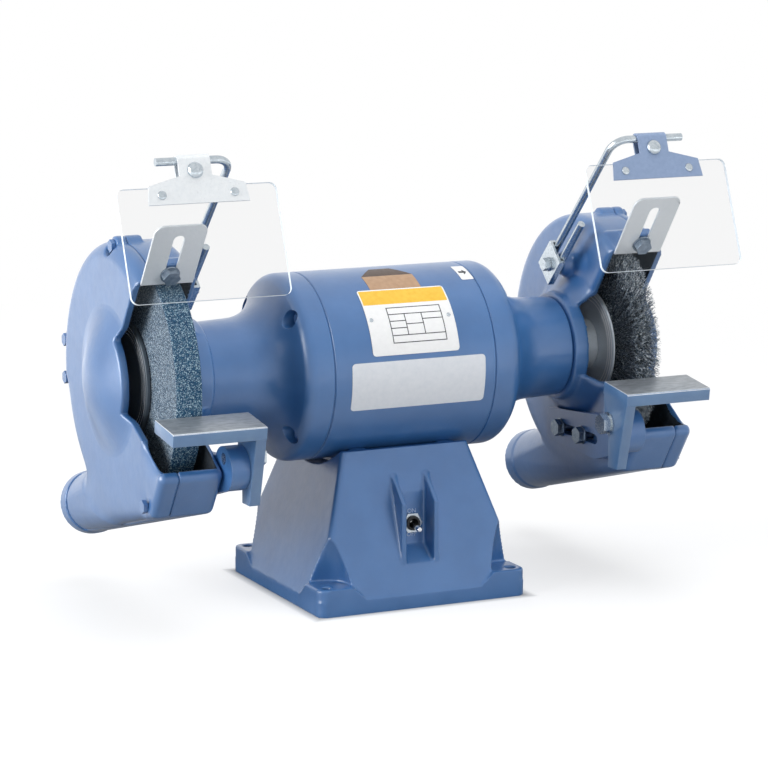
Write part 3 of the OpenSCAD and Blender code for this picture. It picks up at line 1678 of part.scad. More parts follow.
module inner_flanges() {
  color(dark_steel) {
    mirror([1, 0, 0])
      arbor_ring(flange_r, arbor_x, wheel_in - blotter_t, rim_cut);
    arbor_ring(spacer_r, arbor_x, brush_in - brush_plate_t, rim_cut);
  }
}

module spindle_nut(x0) {
  difference() {
    hex_x([0, 0], nut_af, x0, x0 + nut_h);
    bar_x([0, 0], arbor_r + fit, x0 - overcut, x0 + nut_h + overcut);
  }
}

module spindle_nuts() {
  color(zinc) {
    mirror([1, 0, 0])
      spindle_nut(wheel_out + blotter_t + flange_t);
    spindle_nut(brush_out + brush_plate_t + flange_t);
  }
}

// Two pressed plates with the core between them that the wires are wound on.
module wire_wheel_plates() {
  core = brush_core_r - 2 * slide_gap;
  color(dark_steel)
    for (s = [0, 1])
      translate([2 * wheel_x * s, 0, 0])
      mirror([s, 0, 0])
      turned([
        [arbor_r + fit, brush_in - brush_plate_t],
        [flange_r - brush_plate_t, brush_in - brush_plate_t],
        [flange_r, brush_in - brush_plate_t / 2],
        [flange_r, brush_in - slide_gap],
        [core, brush_in - slide_gap],
        [core, wheel_x - slide_gap / 2],
        [arbor_r + fit, wheel_x - slide_gap / 2]
      ]);
}

strand_step = 360 / strands_around;

// A point of the wire wheel at an angle, a radius and a share of its width.
function wire_point(a, r, share) =
  let (spread = (r - brush_root_r) / (brush_r - brush_root_r))
  let (w = brush_root_w + (brush_face_w - brush_root_w) * spread)
  [wheel_x + w * (share - 0.5), r * cos(a), spindle_h + r * sin(a)];

// Length of a strand, uneven by a fixed rule.
function strand_end(i, j) = brush_r - strand_ragged * (0.5 + 0.5 * sin(137.5 * (strand_rows * i + 3 * j)));

// The three corners of a strand in its cell, at a radius and drawn in by a share.
function strand_corners(i, j, r, share) = [
  for (c = [[-0.5, -0.5], [0.5, -0.5], [0, 0.5]])
    wire_point(
      strand_step * (i + 0.5 + c[0] * (1 - 2 * strand_inset) * share),
      r,
      (j + 0.5 + c[1] * (1 - 2 * strand_inset) * share) / strand_rows
    )
];

// One closed form: a ring whose outer face carries a three-sided strand in each cell.
module wire_bristles() {
  n = strands_around;
  m = strand_rows;
  ring = [for (i = [0 : n - 1], j = [0 : m]) wire_point(strand_step * i, brush_root_r, j / m)];
  core = [for (i = [0 : n - 1], k = [0, 1]) wire_point(strand_step * i, brush_core_r, k)
    - [brush_core_shift(k), 0, 0]];
  wires = [
    for (i = [0 : n - 1], j = [0 : m - 1])
      each concat(
        strand_corners(i, j, brush_root_r, 1),
        strand_corners(i, j, strand_end(i, j), strand_tip_share)
      )
  ];
  first_core = len(ring);
  first_wire = first_core + len(core);
  skin = [
    for (i = [0 : n - 1], j = [0 : m - 1])
      let (
        a = i * (m + 1) + j,
        b = ((i + 1) % n) * (m + 1) + j,
        c = b + 1,
        d = a + 1,
        p = first_wire + 6 * (i * m + j)
      )
      each [
        [a, p + 1, b], [a, p, p + 1],
        [b, p + 2, c], [b, p + 1, p + 2],
        [c, p + 2, d],
        [d, p, a], [d, p + 2, p],
        [p, p + 4, p + 1], [p, p + 3, p + 4],
        [p + 1, p + 5, p + 2], [p + 1, p + 4, p + 5],
        [p + 2, p + 3, p], [p + 2, p + 5, p + 3],
        [p + 3, p + 5, p + 4]
      ]
  ];
  back = [
    for (i = [0 : n - 1])
      let (
        next = (i + 1) % n,
        a = i * (m + 1),
        b = next * (m + 1),
        ca = first_core + 2 * i,
        cb = first_core + 2 * next
      )
      each [
        [b, ca, a], [b, cb, ca],
        [a + m, cb + 1, b + m], [a + m, ca + 1, cb + 1],
        [cb, ca + 1, ca], [cb, cb + 1, ca + 1]
      ]
  ];
  color(black)
    polyhedron(points = concat(ring, core, wires), faces = concat(skin, back));
}

// The core keeps the width of the ring although it lies further in.
function brush_core_shift(k) =
  let (w = wire_point(0, brush_core_r, 1)[0] - wheel_x)
  (2 * k - 1) * (w - brush_root_w / 2);

base_casting();
base_bottom_plate();
bottom_plate_screws();
switch_body();
switch_nut();
switch_lever();
cable_gland();
start_capacitor();
motor_mount_bolts();
motor_frame();
stator_core();
stator_windings();
rotor_core();
spindle_shaft();
left_end_bell();
right_end_bell();
end_bell_screws();
bearing_outer_rings();
bearing_inner_rings();
bearing_balls();
left_guard_body();
right_guard_body();
left_guard_cover();
right_guard_cover();
cover_bolts();
guard_mount_screws();
spark_guard_bolts();
arm_clamp_bolts();
bracket_bolts();
left_spark_guard();
right_spark_guard();
left_shield_arm();
right_shield_arm();
left_arm_clamp();
right_arm_clamp();
left_shield_panel();
right_shield_panel();
left_shield_bracket();
right_shield_bracket();
left_shield_rivets();
right_shield_rivets();
left_shield_screw();
right_shield_screw();
left_tool_rest();
right_tool_rest();
left_rest_bracket();
right_rest_bracket();
left_pivot_bolt();
right_pivot_bolt();
grinding_wheel();
wheel_blotters();
wire_bristles();
wire_wheel_plates();
inner_flanges();
outer_flanges();
spindle_nuts();
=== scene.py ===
import math
import random

import bmesh
import bpy
import numpy
from mathutils import Matrix, Vector
from mathutils.bvhtree import BVHTree


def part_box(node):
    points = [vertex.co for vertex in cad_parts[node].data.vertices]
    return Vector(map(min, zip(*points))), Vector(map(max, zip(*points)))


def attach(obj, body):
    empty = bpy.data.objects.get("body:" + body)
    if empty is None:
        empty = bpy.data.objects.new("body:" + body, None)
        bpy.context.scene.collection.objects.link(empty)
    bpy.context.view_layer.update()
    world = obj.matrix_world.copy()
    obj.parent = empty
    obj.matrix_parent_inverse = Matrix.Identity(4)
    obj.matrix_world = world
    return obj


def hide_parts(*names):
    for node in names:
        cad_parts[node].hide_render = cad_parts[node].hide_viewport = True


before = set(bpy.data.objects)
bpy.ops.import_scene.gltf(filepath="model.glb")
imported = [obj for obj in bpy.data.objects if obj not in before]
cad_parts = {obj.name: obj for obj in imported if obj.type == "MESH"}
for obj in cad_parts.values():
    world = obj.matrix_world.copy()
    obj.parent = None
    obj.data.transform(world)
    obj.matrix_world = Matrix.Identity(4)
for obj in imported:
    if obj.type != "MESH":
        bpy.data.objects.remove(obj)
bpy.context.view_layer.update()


# Base. A hollow grey-iron sand casting: a broad foot with four bolt pads, and a pedestal that
# tapers up to the motor. Its edges keep the soft fillets of the mould, and the casting is
# sprayed with a satin blue enamel that shows a little orange peel.

def colour(red, green, blue):
    """A colour given in screen values from 0 to 255, as the shader takes it."""
    def light(value):
        share = value / 255.0
        return share / 12.92 if share < 0.04045 else ((share + 0.055) / 1.055) ** 2.4
    return (light(red), light(green), light(blue), 1.0)


def new_finish(name):
    """An empty finish: the material, its node tree and its shader."""
    material = bpy.data.materials.new(name)
    material.use_nodes = True
    tree = material.node_tree
    return material, tree, tree.nodes["Principled BSDF"]


def mottle(tree, size, detail=3.0, stretch=(1.0, 1.0, 1.0)):
    """Cloudy noise in patches about size metres across, drawn out along an axis by stretch."""
    place = tree.nodes.new("ShaderNodeTexCoord")
    scaled = tree.nodes.new("ShaderNodeMapping")
    scaled.inputs["Scale"].default_value = [1.0 / (size * part) for part in stretch]
    noise = tree.nodes.new("ShaderNodeTexNoise")
    noise.inputs["Scale"].default_value = 1.0
    noise.inputs["Detail"].default_value = detail
    tree.links.new(place.outputs["Object"], scaled.inputs["Vector"])
    tree.links.new(scaled.outputs["Vector"], noise.inputs["Vector"])
    return noise.outputs["Fac"]


def shades(tree, factor, *stops):
    """A run of colours along a factor, from (place, colour) pairs in order."""
    ramp = tree.nodes.new("ShaderNodeValToRGB")
    run = ramp.color_ramp.elements
    while len(run) < len(stops):
        run.new(1.0)
    for element, (place, shade) in zip(run, stops):
        element.position = place
        element.color = shade
    tree.links.new(factor, ramp.inputs["Fac"])
    return ramp.outputs["Color"]


def spread(tree, factor, low, high, start=0.3, end=0.7):
    """The factor stretched from start..end to low..high."""
    stretch = tree.nodes.new("ShaderNodeMapRange")
    stretch.inputs["From Min"].default_value = start
    stretch.inputs["From Max"].default_value = end
    stretch.inputs["To Min"].default_value = low
    stretch.inputs["To Max"].default_value = high
    tree.links.new(factor, stretch.inputs["Value"])
    return stretch.outputs["Result"]


def relief(tree, shader, height, depth):
    """Raises the surface by depth metres where height is 1, on top of any relief it has already."""
    bump = tree.nodes.new("ShaderNodeBump")
    bump.inputs["Distance"].default_value = depth
    tree.links.new(height, bump.inputs["Height"])
    for link in shader.inputs["Normal"].links:
        tree.links.new(link.from_socket, bump.inputs["Normal"])
    tree.links.new(bump.outputs["Normal"], shader.inputs["Normal"])


enamel_deep = colour(49, 98, 153)
enamel_pale = colour(57, 106, 162)


def enamel(name, peel, sand, deep=enamel_deep, pale=enamel_pale):
    """Satin blue enamel over metal: peel is the orange peel's depth, sand the casting's under it."""
    material, tree, shader = new_finish(name)
    cloud = mottle(tree, 0.03)
    tone = shades(tree, cloud, (0.35, deep), (0.65, pale))
    tree.links.new(tone, shader.inputs["Base Color"])
    tree.links.new(spread(tree, mottle(tree, 0.008), 0.36, 0.46), shader.inputs["Roughness"])
    shader.inputs["Specular IOR Level"].default_value = 0.6
    shader.inputs["Coat Weight"].default_value = 1.0
    shader.inputs["Coat Roughness"].default_value = 0.3
    shader.inputs["Coat IOR"].default_value = 1.55
    relief(tree, shader, mottle(tree, 0.006), sand)
    relief(tree, shader, mottle(tree, 0.0016, 2.0), peel)
    tree.links.new(shader.inputs["Normal"].links[0].from_socket, shader.inputs["Coat Normal"])
    return material


cast_enamel = enamel("cast_enamel", 0.00004, 0.0001)


def new_piece(name, mesh, materials, body, slot, *stands_for, crease=45.0):
    """A made mesh as a piece that rides on a body and stands for CAD nodes, sharp past crease."""
    data = bpy.data.meshes.new(name)
    mesh.to_mesh(data)
    mesh.free()
    piece = bpy.data.objects.new(name, data)
    bpy.context.collection.objects.link(piece)
    for material in materials:
        data.materials.append(material)
    for face in data.polygons:
        face.use_smooth = True
    data.set_sharp_from_angle(angle=math.radians(crease))
    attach(piece, body)
    if stands_for:
        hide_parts(*stands_for)
    return piece


def worked(data, *modifiers):
    """A mesh after modifiers, each given as its kind and its settings."""
    blank = bpy.data.objects.new("blank", data)
    bpy.context.collection.objects.link(blank)
    for kind, settings in modifiers:
        step = blank.modifiers.new(kind, kind)
        for setting, value in settings.items():
            setattr(step, setting, value)
    bpy.context.view_layer.update()
    mesh = bmesh.new()
    mesh.from_object(blank, bpy.context.evaluated_depsgraph_get())
    bpy.data.objects.remove(blank)
    return mesh


def run_together(mesh, shares):
    """Eases each point towards its neighbours, by its own share, until the parts run into one."""
    rounds = 260
    at = numpy.array([vert.co for vert in mesh.verts])
    ends = numpy.array([[edge.verts[0].index, edge.verts[1].index] for edge in mesh.edges])
    here = numpy.concatenate((ends[:, 0], ends[:, 1]))
    there = numpy.concatenate((ends[:, 1], ends[:, 0]))
    neighbours = numpy.bincount(here, minlength=len(at))
    ease = 0.5 * numpy.array(shares)
    for _ in range(rounds):
        for axis in range(3):
            mean = numpy.bincount(here, at[there, axis], len(at)) / neighbours
            at[:, axis] += ease * (mean - at[:, axis])
    for vert, place in zip(mesh.verts, at):
        vert.co = place


weld = 0.000004
broad_area = 0.0007
flat_reach = 0.0002


def cast_shape(node, voxel, soften, keep, melts=None):
    """A CAD node as it leaves the mould: its edges rounded over, its broad flats still flat, and
    run together where melts says so of a point."""
    drawn = bmesh.new()
    drawn.from_mesh(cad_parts[node].data)
    bmesh.ops.remove_doubles(drawn, verts=drawn.verts, dist=weld)
    bmesh.ops.dissolve_limit(drawn, angle_limit=math.radians(0.2), verts=drawn.verts,
                             edges=drawn.edges)
    drawn.faces.ensure_lookup_table()
    broad = {face.index for face in drawn.faces if face.calc_area() > broad_area}
    surface = BVHTree.FromBMesh(drawn)
    soft = worked(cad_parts[node].data.copy(),
                  ("REMESH", {"mode": "VOXEL", "voxel_size": voxel}),
                  ("SMOOTH", {"factor": 0.5, "iterations": soften}))
    for vert in soft.verts:
        flat, _, face, away = surface.find_nearest(vert.co)
        if face in broad:
            vert.co = vert.co.lerp(flat, min(1.0, max(0.0, 1.6 - away / flat_reach)))
    if melts:
        run_together(soft, [melts(vert.co) for vert in soft.verts])
    data = bpy.data.meshes.new(node + "_cast")
    soft.to_mesh(data)
    soft.free()
    drawn.free()
    return worked(data, ("DECIMATE", {"ratio": keep}))


def settle(piece):
    """Lets the broad faces of a piece set its shading, so that they look flat up to their edges."""
    lie = piece.modifiers.new("lie", "WEIGHTED_NORMAL")
    lie.weight = 80
    lie.keep_sharp = True


base_voxel = 0.0011
settle(new_piece("cast_base", cast_shape("base_casting", base_voxel, 4, 0.3), [cast_enamel],
                 "grinder", "painted_cast", "base_casting"))


# Bottom plate and its screws. A flat sheet-steel plate closes the hollow base from below, held by
# four screws; both are plain zinc-plated steel, as are the bolts that hold the motor.

def crisp(node, round_over):
    """Breaks the sharp edges of a CAD node that shows as it is, as a maker would with a file."""
    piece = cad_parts[node]
    sew = piece.modifiers.new("sew", "WELD")
    sew.merge_threshold = weld
    flats = piece.modifiers.new("flats", "DECIMATE")
    flats.decimate_type = "DISSOLVE"
    flats.angle_limit = math.radians(0.5)
    edges = piece.modifiers.new("edges", "BEVEL")
    edges.width = round_over
    edges.segments = 2
    edges.limit_method = "ANGLE"
    edges.angle_limit = math.radians(32)
    settle(piece)


def dress(material, round_over, *nodes):
    """Gives CAD nodes that show as they are a finish and, where round_over isn't 0, broken edges."""
    for node in nodes:
        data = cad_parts[node].data
        data.materials.clear()
        data.materials.append(material)
        for face in data.polygons:
            face.use_smooth = True
        if round_over:
            crisp(node, round_over)


def steel(name, dark, light, rough, draw=(1.0, 1.0, 1.0), metal=1.0):
    """Bare or plated steel: two tones, a roughness range and marks drawn out along an axis."""
    material, tree, shader = new_finish(name)
    marks = mottle(tree, 0.0006, 4.0, draw)
    tone = shades(tree, mottle(tree, 0.003, 5.0, draw), (0.3, dark), (0.7, light))
    tree.links.new(tone, shader.inputs["Base Color"])
    tree.links.new(spread(tree, marks, *rough), shader.inputs["Roughness"])
    shader.inputs["Metallic"].default_value = metal
    relief(tree, shader, marks, 0.00002)
    return material


zinc = steel("zinc_plate", colour(176, 186, 194), colour(200, 208, 214), (0.2, 0.3))
dress(zinc, 0.0003, "base_bottom_plate", "bottom_plate_screws", "motor_mount_bolts")


# Switch. A toggle switch screwed through the wall of the cast pocket: a black moulded body behind
# it, a plated ring nut in front and a polished bat lever. Its two positions are named above and
# below in raised letters, picked out in a paler paint.

def grained(name, dark, light, rough):
    """A dull finish with a fine grain, as moulded plastic, thin paint and dust have."""
    material, tree, shader = new_finish(name)
    tone = shades(tree, mottle(tree, 0.01), (0.35, dark), (0.65, light))
    tree.links.new(tone, shader.inputs["Base Color"])
    tree.links.new(spread(tree, mottle(tree, 0.002), *rough), shader.inputs["Roughness"])
    relief(tree, shader, mottle(tree, 0.0005, 2.0), 0.00003)
    return material


black_plastic = grained("black_plastic", colour(18, 19, 21), colour(30, 31, 34), (0.38, 0.52))
chrome = steel("toggle_chrome", colour(205, 208, 212), colour(228, 230, 233), (0.08, 0.16))
dress(black_plastic, 0.0002, "switch_body", "cable_gland", "start_capacitor")
dress(zinc, 0.0002, "switch_nut")
dress(chrome, 0.0, "switch_lever")

nut_low, nut_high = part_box("switch_nut")
nut_z = (nut_low.z + nut_high.z) / 2.0
word_h = 0.0052
word_off_nut = 0.0098
word_raised = 0.0003
word_sunk = 0.0002
word_paint = grained("word_paint", colour(156, 175, 203), colour(168, 186, 212), (0.35, 0.45))
for word, height in (("ON", word_off_nut), ("OFF", -word_off_nut)):
    letters = bpy.data.curves.new("letters", "FONT")
    letters.body = word
    letters.size = word_h
    letters.extrude = word_raised
    letters.align_x = "CENTER"
    letters.align_y = "CENTER"
    sketch = bpy.data.objects.new("letters", letters)
    bpy.context.collection.objects.link(sketch)
    bpy.context.view_layer.update()
    mesh = bmesh.new()
    mesh.from_mesh(sketch.evaluated_get(bpy.context.evaluated_depsgraph_get()).to_mesh())
    bpy.data.objects.remove(sketch)
    bmesh.ops.remove_doubles(mesh, verts=mesh.verts, dist=weld)
    lift = Matrix.Translation((0.0, nut_high.y - word_sunk, nut_z + height))
    stand = lift @ Matrix.Rotation(math.pi / 2, 4, "X")
    bmesh.ops.transform(mesh, matrix=stand, verts=mesh.verts)
    new_piece("switch_word_" + word.lower(), mesh, [word_paint], "grinder", "painted_cast")


# Motor. A rolled steel frame between two cast end bells, all in the same blue enamel, with the
# laminated stator, its copper windings and the rotor inside. Long screws clamp the bells, their
# heads sunk in pockets of the casting.

shell_enamel = enamel("shell_enamel", 0.00003, 0.00005)
copper = steel("varnished_copper", colour(150, 78, 38), colour(190, 110, 58), (0.25, 0.4))
dark_steel = steel("oiled_steel", colour(52, 56, 62), colour(84, 90, 97), (0.28, 0.44))
bright_steel = steel("ground_steel", colour(176, 180, 184), colour(214, 216, 219), (0.18, 0.32))
dress(shell_enamel, 0.0, "motor_frame")
dress(shell_enamel, 0.0006, "left_end_bell", "right_end_bell")
dress(shell_enamel, 0.0003, "end_bell_screws")
dress(dark_steel, 0.0, "stator_core", "rotor_core")
dress(copper, 0.0, "stator_windings")
dress(bright_steel, 0.0, "spindle_shaft", "bearing_outer_rings", "bearing_inner_rings",
      "bearing_balls")


# Plates and labels on the motor. A white printed plate with a yellow band and a blank ruled grid,
# held by two drive rivets, and over it a tan paper label; below it a plain pale label, and at the
# right a small white one with an arrow. All follow the round of the frame.

frame_low, frame_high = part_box("motor_frame")
axis_z = (frame_low.z + frame_high.z) / 2.0
shell_r = max(abs(frame_low.y), abs(frame_high.y))


def printed(name, shade, paler):
    """Printed foil or paper: an even ink with a faint mottle."""
    material, tree, shader = new_finish(name)
    tone = shades(tree, mottle(tree, 0.004), (0.3, shade), (0.7, paler))
    tree.links.new(tone, shader.inputs["Base Color"])
    tree.links.new(spread(tree, mottle(tree, 0.002), 0.34, 0.46), shader.inputs["Roughness"])
    return material


inks = {
    "white": printed("ink_white", colour(243, 244, 245), colour(248, 249, 250)),
    "yellow": printed("ink_yellow", colour(240, 190, 62), colour(247, 202, 78)),
    "black": printed("ink_black", colour(34, 38, 44), colour(44, 48, 54)),
    "pale": printed("ink_pale", colour(224, 229, 236), colour(231, 235, 241)),
    "tan": printed("ink_tan", colour(176, 142, 112), colour(190, 156, 126)),
    "brown": printed("ink_brown", colour(70, 56, 48), colour(82, 66, 57)),
}


def label(name, lift, across, around, ink_at, edge=None, cuts_x=(), cuts_a=()):
    """A thin printed sheet bent round the motor. across is its run in X, around its run in degrees
    up from the front; edge(degree) gives the ends of a row, and ink_at names the ink of a cell."""
    step_x = 0.004
    step_a = 2.0
    sheet = 0.0002
    xs = set(cuts_x)
    count = max(2, round((across[1] - across[0]) / step_x))
    xs.update(across[0] + (across[1] - across[0]) * i / count for i in range(count + 1))
    angles = set(cuts_a)
    count = max(2, round((around[1] - around[0]) / step_a))
    angles.update(around[0] + (around[1] - around[0]) * i / count for i in range(count + 1))
    xs, angles = sorted(xs), sorted(angles)
    names = sorted(inks)
    mesh = bmesh.new()

    def vert(x, degree, r):
        a = math.radians(degree)
        low, high = edge(degree) if edge else across
        return mesh.verts.new((min(max(x, low), high), -r * math.cos(a), axis_z + r * math.sin(a)))

    face_r, back_r = shell_r + lift + sheet, shell_r + lift - sheet
    front = [[vert(x, a, face_r) for x in xs] for a in angles]
    back = [[vert(x, a, back_r) for x in xs] for a in angles]
    for j in range(len(angles) - 1):
        for i in range(len(xs) - 1):
            ink = ink_at((xs[i] + xs[i + 1]) / 2.0, (angles[j] + angles[j + 1]) / 2.0)
            face = mesh.faces.new((front[j][i], front[j][i + 1],
                                   front[j + 1][i + 1], front[j + 1][i]))
            face.material_index = names.index(ink)
            mesh.faces.new((back[j][i], back[j + 1][i], back[j + 1][i + 1], back[j][i + 1]))
    rim = [(0, i) for i in range(len(xs) - 1)]
    rim += [(j, len(xs) - 1) for j in range(len(angles) - 1)]
    rim += [(len(angles) - 1, i) for i in range(len(xs) - 1, 0, -1)]
    rim += [(j, 0) for j in range(len(angles) - 1, 0, -1)]
    for here, there in zip(rim, rim[1:] + rim[:1]):
        mesh.faces.new((front[there[0]][there[1]], front[here[0]][here[1]],
                        back[here[0]][here[1]], back[there[0]][there[1]]))
    bmesh.ops.remove_doubles(mesh, verts=mesh.verts, dist=0.000002)
    bmesh.ops.dissolve_degenerate(mesh, edges=mesh.edges, dist=0.000002)
    return new_piece(name, mesh, [inks[key] for key in names], "grinder", "paper")


def rounded(across, around, radius):
    """The trim of a sheet with round corners, as edge() takes it."""
    def edge(degree):
        reach = min(degree - around[0], around[1] - degree)
        depth = math.radians(reach) * shell_r
        if depth >= radius:
            return across
        inset = radius - math.sqrt(max(0.0, radius ** 2 - (radius - depth) ** 2))
        return across[0] + inset, across[1] - inset
    return edge


def corner_cuts(around, radius):
    """The rows that a round corner needs."""
    turn = math.degrees(radius / shell_r)
    shares = [0.08, 0.25, 0.5, 1.0]
    return [around[0] + turn * s for s in shares] + [around[1] - turn * s for s in shares]


plate_x, plate_a = (-0.0388, 0.0394), (12.4, 57.3)
band_a = 45.2
plate_border = 0.0012
border_turn = math.degrees(plate_border / shell_r)
rule_w = 0.0008
rule_turn = math.degrees(rule_w / shell_r)
grid_x, grid_a = (-0.0194, 0.0285), (19.3, 42.0)


def grid_line(at_x, at_a):
    """True where the plate's blank form is ruled: a box, full-width rows at its top and bottom, a
    column of short rows at the left and stepped cells beside it."""
    u = (at_x - grid_x[0]) / (grid_x[1] - grid_x[0])
    v = (at_a - grid_a[0]) / (grid_a[1] - grid_a[0])
    return any(x0 <= u <= x1 and y0 <= v <= y1 for x0, x1, y0, y1 in grid_bars)


bar_u = rule_w / (grid_x[1] - grid_x[0])
bar_v = rule_turn / (grid_a[1] - grid_a[0])


def level(v, u0=0.0, u1=1.0):
    return (u0, u1 + bar_u, v, v + bar_v)


def upright(u, v0=0.0, v1=1.0):
    return (u, u + bar_u, v0, v1 + bar_v)


grid_bars = [level(0.0), level(1.0), upright(0.0), upright(1.0), level(0.8), level(0.2),
             level(0.6, 0.0, 0.3), level(0.4, 0.0, 0.3), upright(0.3, 0.2, 0.8),
             level(0.5, 0.3, 0.62), upright(0.62, 0.2, 0.8), level(0.62, 0.62, 1.0)]


def plate_ink(x, degree):
    inside = (plate_x[0] + plate_border < x < plate_x[1] - plate_border
              and degree < plate_a[1] - border_turn)
    if degree > band_a:
        return "yellow" if inside else "white"
    return "black" if grid_line(x, degree) else "white"


grid_us = [edge for bar in grid_bars for edge in bar[:2]]
grid_vs = [edge for bar in grid_bars for edge in bar[2:]]
plate_r = 0.0028
label("motor_plate", 0.0002, plate_x, plate_a, plate_ink, rounded(plate_x, plate_a, plate_r),
      [grid_x[0] + u * (grid_x[1] - grid_x[0]) for u in grid_us]
      + [plate_x[0] + plate_border, plate_x[1] - plate_border],
      [grid_a[0] + v * (grid_a[1] - grid_a[0]) for v in grid_vs]
      + [band_a, plate_a[1] - border_turn] + corner_cuts(plate_a, plate_r))

lower_x, lower_a, lower_r = (-0.058, 0.0624), (-20.4, 9.0), 0.0032
label("lower_label", 0.0, lower_x, lower_a, lambda x, degree: "pale",
      rounded(lower_x, lower_a, lower_r), (), corner_cuts(lower_a, lower_r))

tan_x, tan_a = (-0.0255, 0.0205), (56.0, 84.0)
tan_roof = 72.0
tan_slant = 0.014


def tan_edge(degree):
    """The tan label's top corners are cut off at a slant."""
    if degree <= tan_roof:
        return tan_x
    inset = tan_slant * (degree - tan_roof) / (tan_a[1] - tan_roof)
    return tan_x[0] + inset, tan_x[1] - inset


label("tan_label", 0.0, tan_x, tan_a, lambda x, degree: "brown" if degree > tan_roof else "tan",
      tan_edge, (), (tan_roof,))

small_x, small_a, small_r = (0.0605, 0.0718), (61.4, 79.0), 0.0012
shaft_x = (0.0625, 0.067)
head_x = (0.0665, 0.0698)
arrow_a = 70.0
shaft_half = 1.2
head_half = 3.2
cell_x = 0.0004
cell_a = 0.4


def small_ink(x, degree):
    """A dark arrow on the small label: a shaft and a head that points along the motor."""
    off = abs(degree - arrow_a)
    if off < shaft_half and shaft_x[0] < x < shaft_x[1]:
        return "black"
    taper = head_half * (head_x[1] - x) / (head_x[1] - head_x[0])
    return "black" if head_x[0] < x < head_x[1] and off < taper else "white"


label("arrow_label", 0.0, small_x, small_a, small_ink, rounded(small_x, small_a, small_r),
      [small_x[0] + cell_x * i for i in range(1, 28)],
      [small_a[0] + cell_a * i for i in range(1, 44)])


def turned(profile, sides):
    """A closed solid turned about Z from (radius, height) points, its ends on the axis."""
    mesh = bmesh.new()
    rings = []
    for r, z in profile:
        if r < 0.0000005:
            rings.append([mesh.verts.new((0.0, 0.0, z))])
            continue
        turns = [2.0 * math.pi * i / sides for i in range(sides)]
        rings.append([mesh.verts.new((r * math.cos(t), r * math.sin(t), z)) for t in turns])
    for low, high in zip(rings, rings[1:]):
        for i in range(sides):
            k = (i + 1) % sides
            corners = [low[i % len(low)], low[k % len(low)],
                       high[k % len(high)], high[i % len(high)]]
            distinct = list(dict.fromkeys(corners))
            if len(distinct) > 2:
                mesh.faces.new(distinct)
    return mesh


rivet_r = 0.0018
rivet_head = [(0.0, -0.001), (rivet_r, -0.001), (rivet_r, 0.0002), (rivet_r * 0.86, 0.0006),
              (rivet_r * 0.5, 0.0009), (0.0, 0.001)]
rivet_angle = math.radians(35.0)
rivet_x = 0.0349
rivet_seat = 0.0004
for side, x in (("left", -rivet_x), ("right", rivet_x)):
    mesh = turned(rivet_head, 20)
    out = Vector((0.0, -math.cos(rivet_angle), math.sin(rivet_angle)))
    place = out.to_track_quat("Z", "Y").to_matrix().to_4x4()
    place.translation = Vector((x, 0.0, axis_z)) + out * (shell_r + rivet_seat)
    bmesh.ops.transform(mesh, matrix=place, verts=mesh.verts)
    new_piece("plate_rivet_" + side, mesh, [zinc], "grinder", "zinc_steel")


# Wheel guards. Two hollow castings bolted to the bells, each with a bolted outer cover that has a
# domed hub, and an exhaust duct behind. They are cast and enamelled as the base is, with broad
# fillets from wall to tray, and their inner faces are near-black: partly grinding dust and partly
# painted shade for the dark inside of the guard.

guard_voxel = 0.0011
dome_rise = 0.017
cover_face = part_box("right_guard_cover")[1].x - dome_rise
guard_wall = 0.006
guard_r = 0.112
wall_x = 0.185
flow_fade = 0.006
tray_flow_r = (0.084, 0.124)
tray_flow_drop = 0.012
tray_flow_deep = 0.016


def tray_foot(at):
    """1 on a guard's outer face, where the round of the wheel runs into the tray, fading to 0."""
    from_hub = math.hypot(at.y, at.z - axis_z)
    fades = (at.x - cover_face + tray_flow_deep, axis_z - tray_flow_drop - at.z,
             from_hub - tray_flow_r[0], tray_flow_r[1] - from_hub)
    return max(0.0, min(1.0, min(fades) / flow_fade))


neck_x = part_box("right_guard_body")[0].x
cover_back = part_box("right_guard_cover")[0].x
seam_draw = 0.0007
neck_flow_r = 0.052
neck_flow_w = 0.024
neck_flow_share = 0.2


def neck_flow(at):
    """As tray_foot, and on the inner side a lighter flow from the neck to the wall and the mouth."""
    from_hub = math.hypot(at.y, at.z - axis_z)
    fades = (neck_x + neck_flow_w - at.x, from_hub - neck_flow_r, guard_r - from_hub)
    return max(tray_foot(at), neck_flow_share * max(0.0, min(1.0, min(fades) / flow_fade)))


tray_front = Vector((-0.115, -0.055))
tray_low = Vector((-0.095, -0.096))
tray_back = Vector((-0.021, -0.110))
lip = 0.001


def depth_in(at, start, end):
    """How far a point of the guard's outline lies inside the edge from start to end."""
    run = (end - start).normalized()
    return (at - start).dot(Vector((-run.y, run.x)))


def inside_guard(at):
    """True on the inner faces of the right guard: within its two walls, its rim and its tray."""
    if not wall_x + guard_wall - lip < at.x < cover_face - guard_wall + lip:
        return False
    flat = Vector((at.y, at.z - axis_z))
    if flat.length < guard_r - guard_wall + lip:
        return True
    if flat.x > 0.0 or flat.y > 0.0:
        return False
    front_depth = depth_in(flat, tray_front, tray_low)
    return min(front_depth, depth_in(flat, tray_low, tray_back)) > guard_wall / 2.0


# Near-black for the inner faces of the guards: partly grinding dust and partly painted shade for the
# dark inside of the guard.
dust_and_shade = grained("dust_and_painted_shade", colour(14, 22, 30), colour(34, 44, 54), (0.7, 0.9))
for part, flow in (("guard_body", neck_flow), ("guard_cover", tray_foot)):
    cast = cast_shape("right_" + part, guard_voxel, 5, 0.3, flow)
    if part == "guard_cover":
        for vert in cast.verts:
            if vert.co.x < cover_back + seam_draw:
                vert.co.x -= seam_draw
    # The inner faces take the dust and painted shade; the outer faces keep the enamel.
    for face in cast.faces:
        face.material_index = int(inside_guard(face.calc_center_median()))
    other = cast.copy()
    bmesh.ops.scale(other, vec=(-1.0, 1.0, 1.0), verts=other.verts)
    bmesh.ops.reverse_faces(other, faces=other.faces)
    for side, shape in (("right", cast), ("left", other)):
        settle(new_piece("cast_" + side + "_" + part, shape, [cast_enamel, dust_and_shade],
                         "grinder", "painted_cast", side + "_" + part))
dress(shell_enamel, 0.0003, "cover_bolts", "guard_mount_screws")


